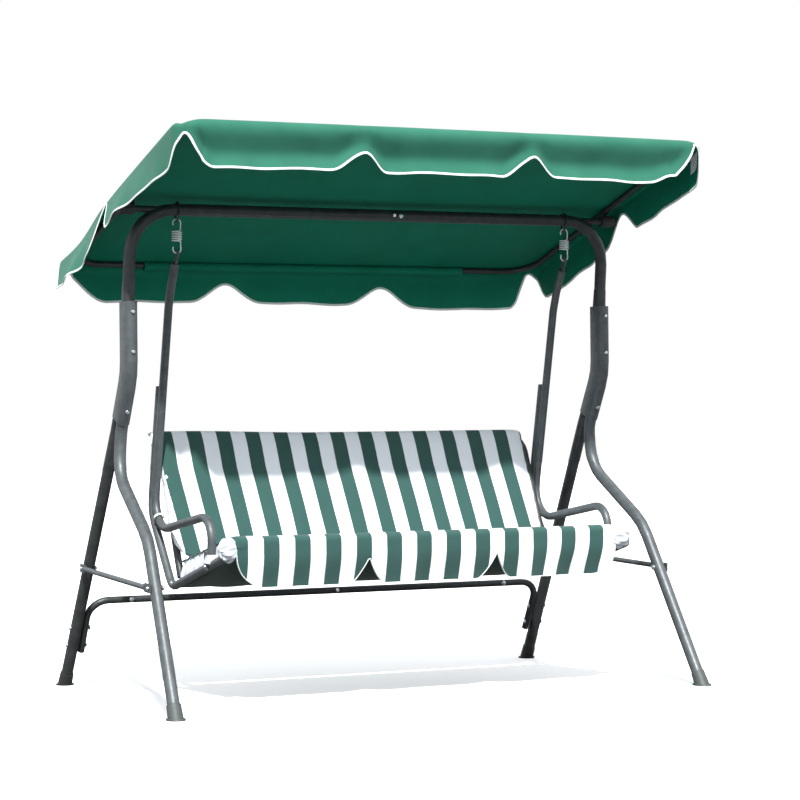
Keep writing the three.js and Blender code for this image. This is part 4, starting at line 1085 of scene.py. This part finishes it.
HEAD_RADIUS = 6.5 * MM
SLEEVE_GRIP = 79.5 * MM  # from the middle of a sleeve bolt's head to the face under its nut
BRACE_GRIP = 43.6 * MM
REAR_BAR_GRIP = 58.8 * MM  # from a head on the rear leg to the one on the bar's inner side
SLEEVE_SLOPE = math.atan(0.548)  # lean of the sleeve's lower part from plumb
REAR_BAR_SEAM = 648 * MM  # from the middle out to a seam between a middle length and an end


def middle_of(node):
    """Middle of a CAD node's box."""
    low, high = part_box(node)
    return np.array((low + high) / 2)


def turned_mesh(name, at, axis, profile, sides=24, outline=None):
    """A turned fastener, from (mm along the axis, share of a bolt head's radius) pairs.

    outline(angle) scales the radius round the turn, where the shape isn't round.
    """
    axis = Vector(axis).normalized()
    across = axis.orthogonal().normalized()
    other = axis.cross(across)
    rings = []
    for along, share in profile:
        middle = Vector(at) + axis * along * MM
        ring = []
        for i in range(sides):
            angle = 2 * math.pi * i / sides
            reach = HEAD_RADIUS * share * (outline(angle) if outline else 1)
            ring.append(middle + (across * math.cos(angle) + other * math.sin(angle)) * reach)
        rings.append(ring)
    return grid_mesh(name, np.array(rings), wrap_columns=True, caps=True)


def bolt_head(name, at, out, body="frame"):
    """A domed head on a thin washer. at is on the surface it holds."""
    profile = [(0.3, 1.25), (1.2, 1.25), (1.3, 1.0), (2.4, 0.97), (3.8, 0.8), (4.8, 0.5), (5.3, 0.15)]
    mesh = turned_mesh(name, at, out, profile)
    make_piece(name, mesh, ZINC, body)


def hexagon(angle):
    """Radius of a unit hexagon's outline in a direction."""
    turn = math.radians(60)
    return math.cos(turn / 2) / math.cos(angle % turn - turn / 2)


def nut(name, at, out):
    """A hexagon nut on a washer, with the bolt's end standing out of it."""
    washer = turned_mesh(f"{name}_washer", at, out, [(0.3, 1.3), (1.3, 1.3), (1.4, 0.6)])
    make_piece(f"{name}_washer", washer, ZINC, "frame")
    flats = [(1.4, 1.05), (1.7, 1.14), (5.4, 1.14), (5.9, 1.02)]
    bolt_end = [(6.0, 0.55), (8.4, 0.5), (8.9, 0.38)]
    mesh = turned_mesh(name, at, out, flats + bolt_end, outline=hexagon)
    make_piece(name, mesh, ZINC, "frame")


def fasteners():
    """The bolts, nuts and washers that the CAD frame leaves out."""
    straight = np.array([0, -1.0, 0])
    leaning = np.array([0, -math.cos(SLEEVE_SLOPE), -math.sin(SLEEVE_SLOPE)])
    for side_name, side in (("left", -1), ("right", 1)):
        across = np.array([side, 0, 0.0])
        for place, out in (("upper", straight), ("middle", straight), ("lower", leaning)):
            head = middle_of(f"{side_name}_sleeve_bolt_{place}")
            nut(f"{side_name}_sleeve_nut_{place}", head - out * SLEEVE_GRIP, -out)
        for place in ("front", "rear"):
            head = middle_of(f"{side_name}_brace_bolt_{place}")
            nut(f"{side_name}_brace_nut_{place}", head - across * BRACE_GRIP, -across)
        upper = middle_of(f"{side_name}_rear_bar_bolt") - across * 2.5 * MM
        lower = upper + np.array([side * 1.6, 29.6, -54]) * MM
        bolt_head(f"{side_name}_rear_bar_bolt_lower", lower, across)
        for place, at in (("upper", upper), ("lower", lower)):
            bolt_head(f"{side_name}_rear_bar_inner_head_{place}", at - across * REAR_BAR_GRIP, -across)
        seam = middle_of("rear_bar_bolt_middle") * [0, 1, 0] + [side * REAR_BAR_SEAM, 2.2 * MM, 267 * MM]
        bolt_head(f"{side_name}_rear_bar_seam_bolt", seam, straight)
        heel = np.array([side * (SIDE_X + SIDE_R), 5 * MM, 338 * MM])
        bolt_head(f"{side_name}_heel_bolt", heel, across, "seat")
    bolt_head("top_bar_bolt_right", middle_of("top_bar_bolt") + np.array([24, 2.2, 0]) * MM, straight)


fasteners()


# ---- studio


def studio():
    """A pale floor and background, soft fill light all round and one key light."""
    bpy.ops.mesh.primitive_plane_add(size=60)
    floor = bpy.context.object
    floor.name = "studio_floor"
    floor.data.materials.append(pale_floor())

    world = bpy.data.worlds.new("studio")
    bpy.context.scene.world = world
    world.use_nodes = True
    nodes, link = world.node_tree.nodes, world.node_tree.links.new
    sky = nodes["Background"]
    sky.inputs["Color"].default_value = SKY_COLOUR
    sky.inputs["Strength"].default_value = SKY
    seen = nodes.new("ShaderNodeBackground")
    seen.inputs["Color"].default_value = (1, 1, 1, 1)
    choose = nodes.new("ShaderNodeMixShader")
    link(nodes.new("ShaderNodeLightPath").outputs["Is Camera Ray"], choose.inputs[0])
    link(sky.outputs[0], choose.inputs[1])
    link(seen.outputs[0], choose.inputs[2])
    link(choose.outputs[0], nodes["World Output"].inputs["Surface"])

    lamp = bpy.data.lights.new("key", "SUN")
    lamp.energy = KEY
    lamp.angle = math.radians(1.6)
    lamp.color = KEY_COLOUR
    key = bpy.data.objects.new("key", lamp)
    key.rotation_euler = Vector(KEY_DIRECTION).to_track_quat("-Z", "Y").to_euler()
    bpy.context.scene.collection.objects.link(key)
    bpy.context.scene.view_settings.view_transform = "Standard"


def camera():
    """A long lens from the front left, a little above the seat."""
    lens = bpy.data.cameras.new("view")
    lens.lens, lens.sensor_width = FOCAL_LENGTH, SENSOR
    lens.shift_x, lens.shift_y = SHIFT_X, SHIFT_Y
    lens.clip_end = 100
    eye = bpy.data.objects.new("view", lens)
    upright = Matrix.Rotation(math.pi / 2 + PITCH, 4, "X") @ Matrix.Rotation(ROLL, 4, "Z")
    eye.matrix_world = Matrix.Translation(EYE) @ Matrix.Rotation(-YAW, 4, "Z") @ upright
    bpy.context.scene.collection.objects.link(eye)
    bpy.context.scene.camera = eye


studio()
camera()
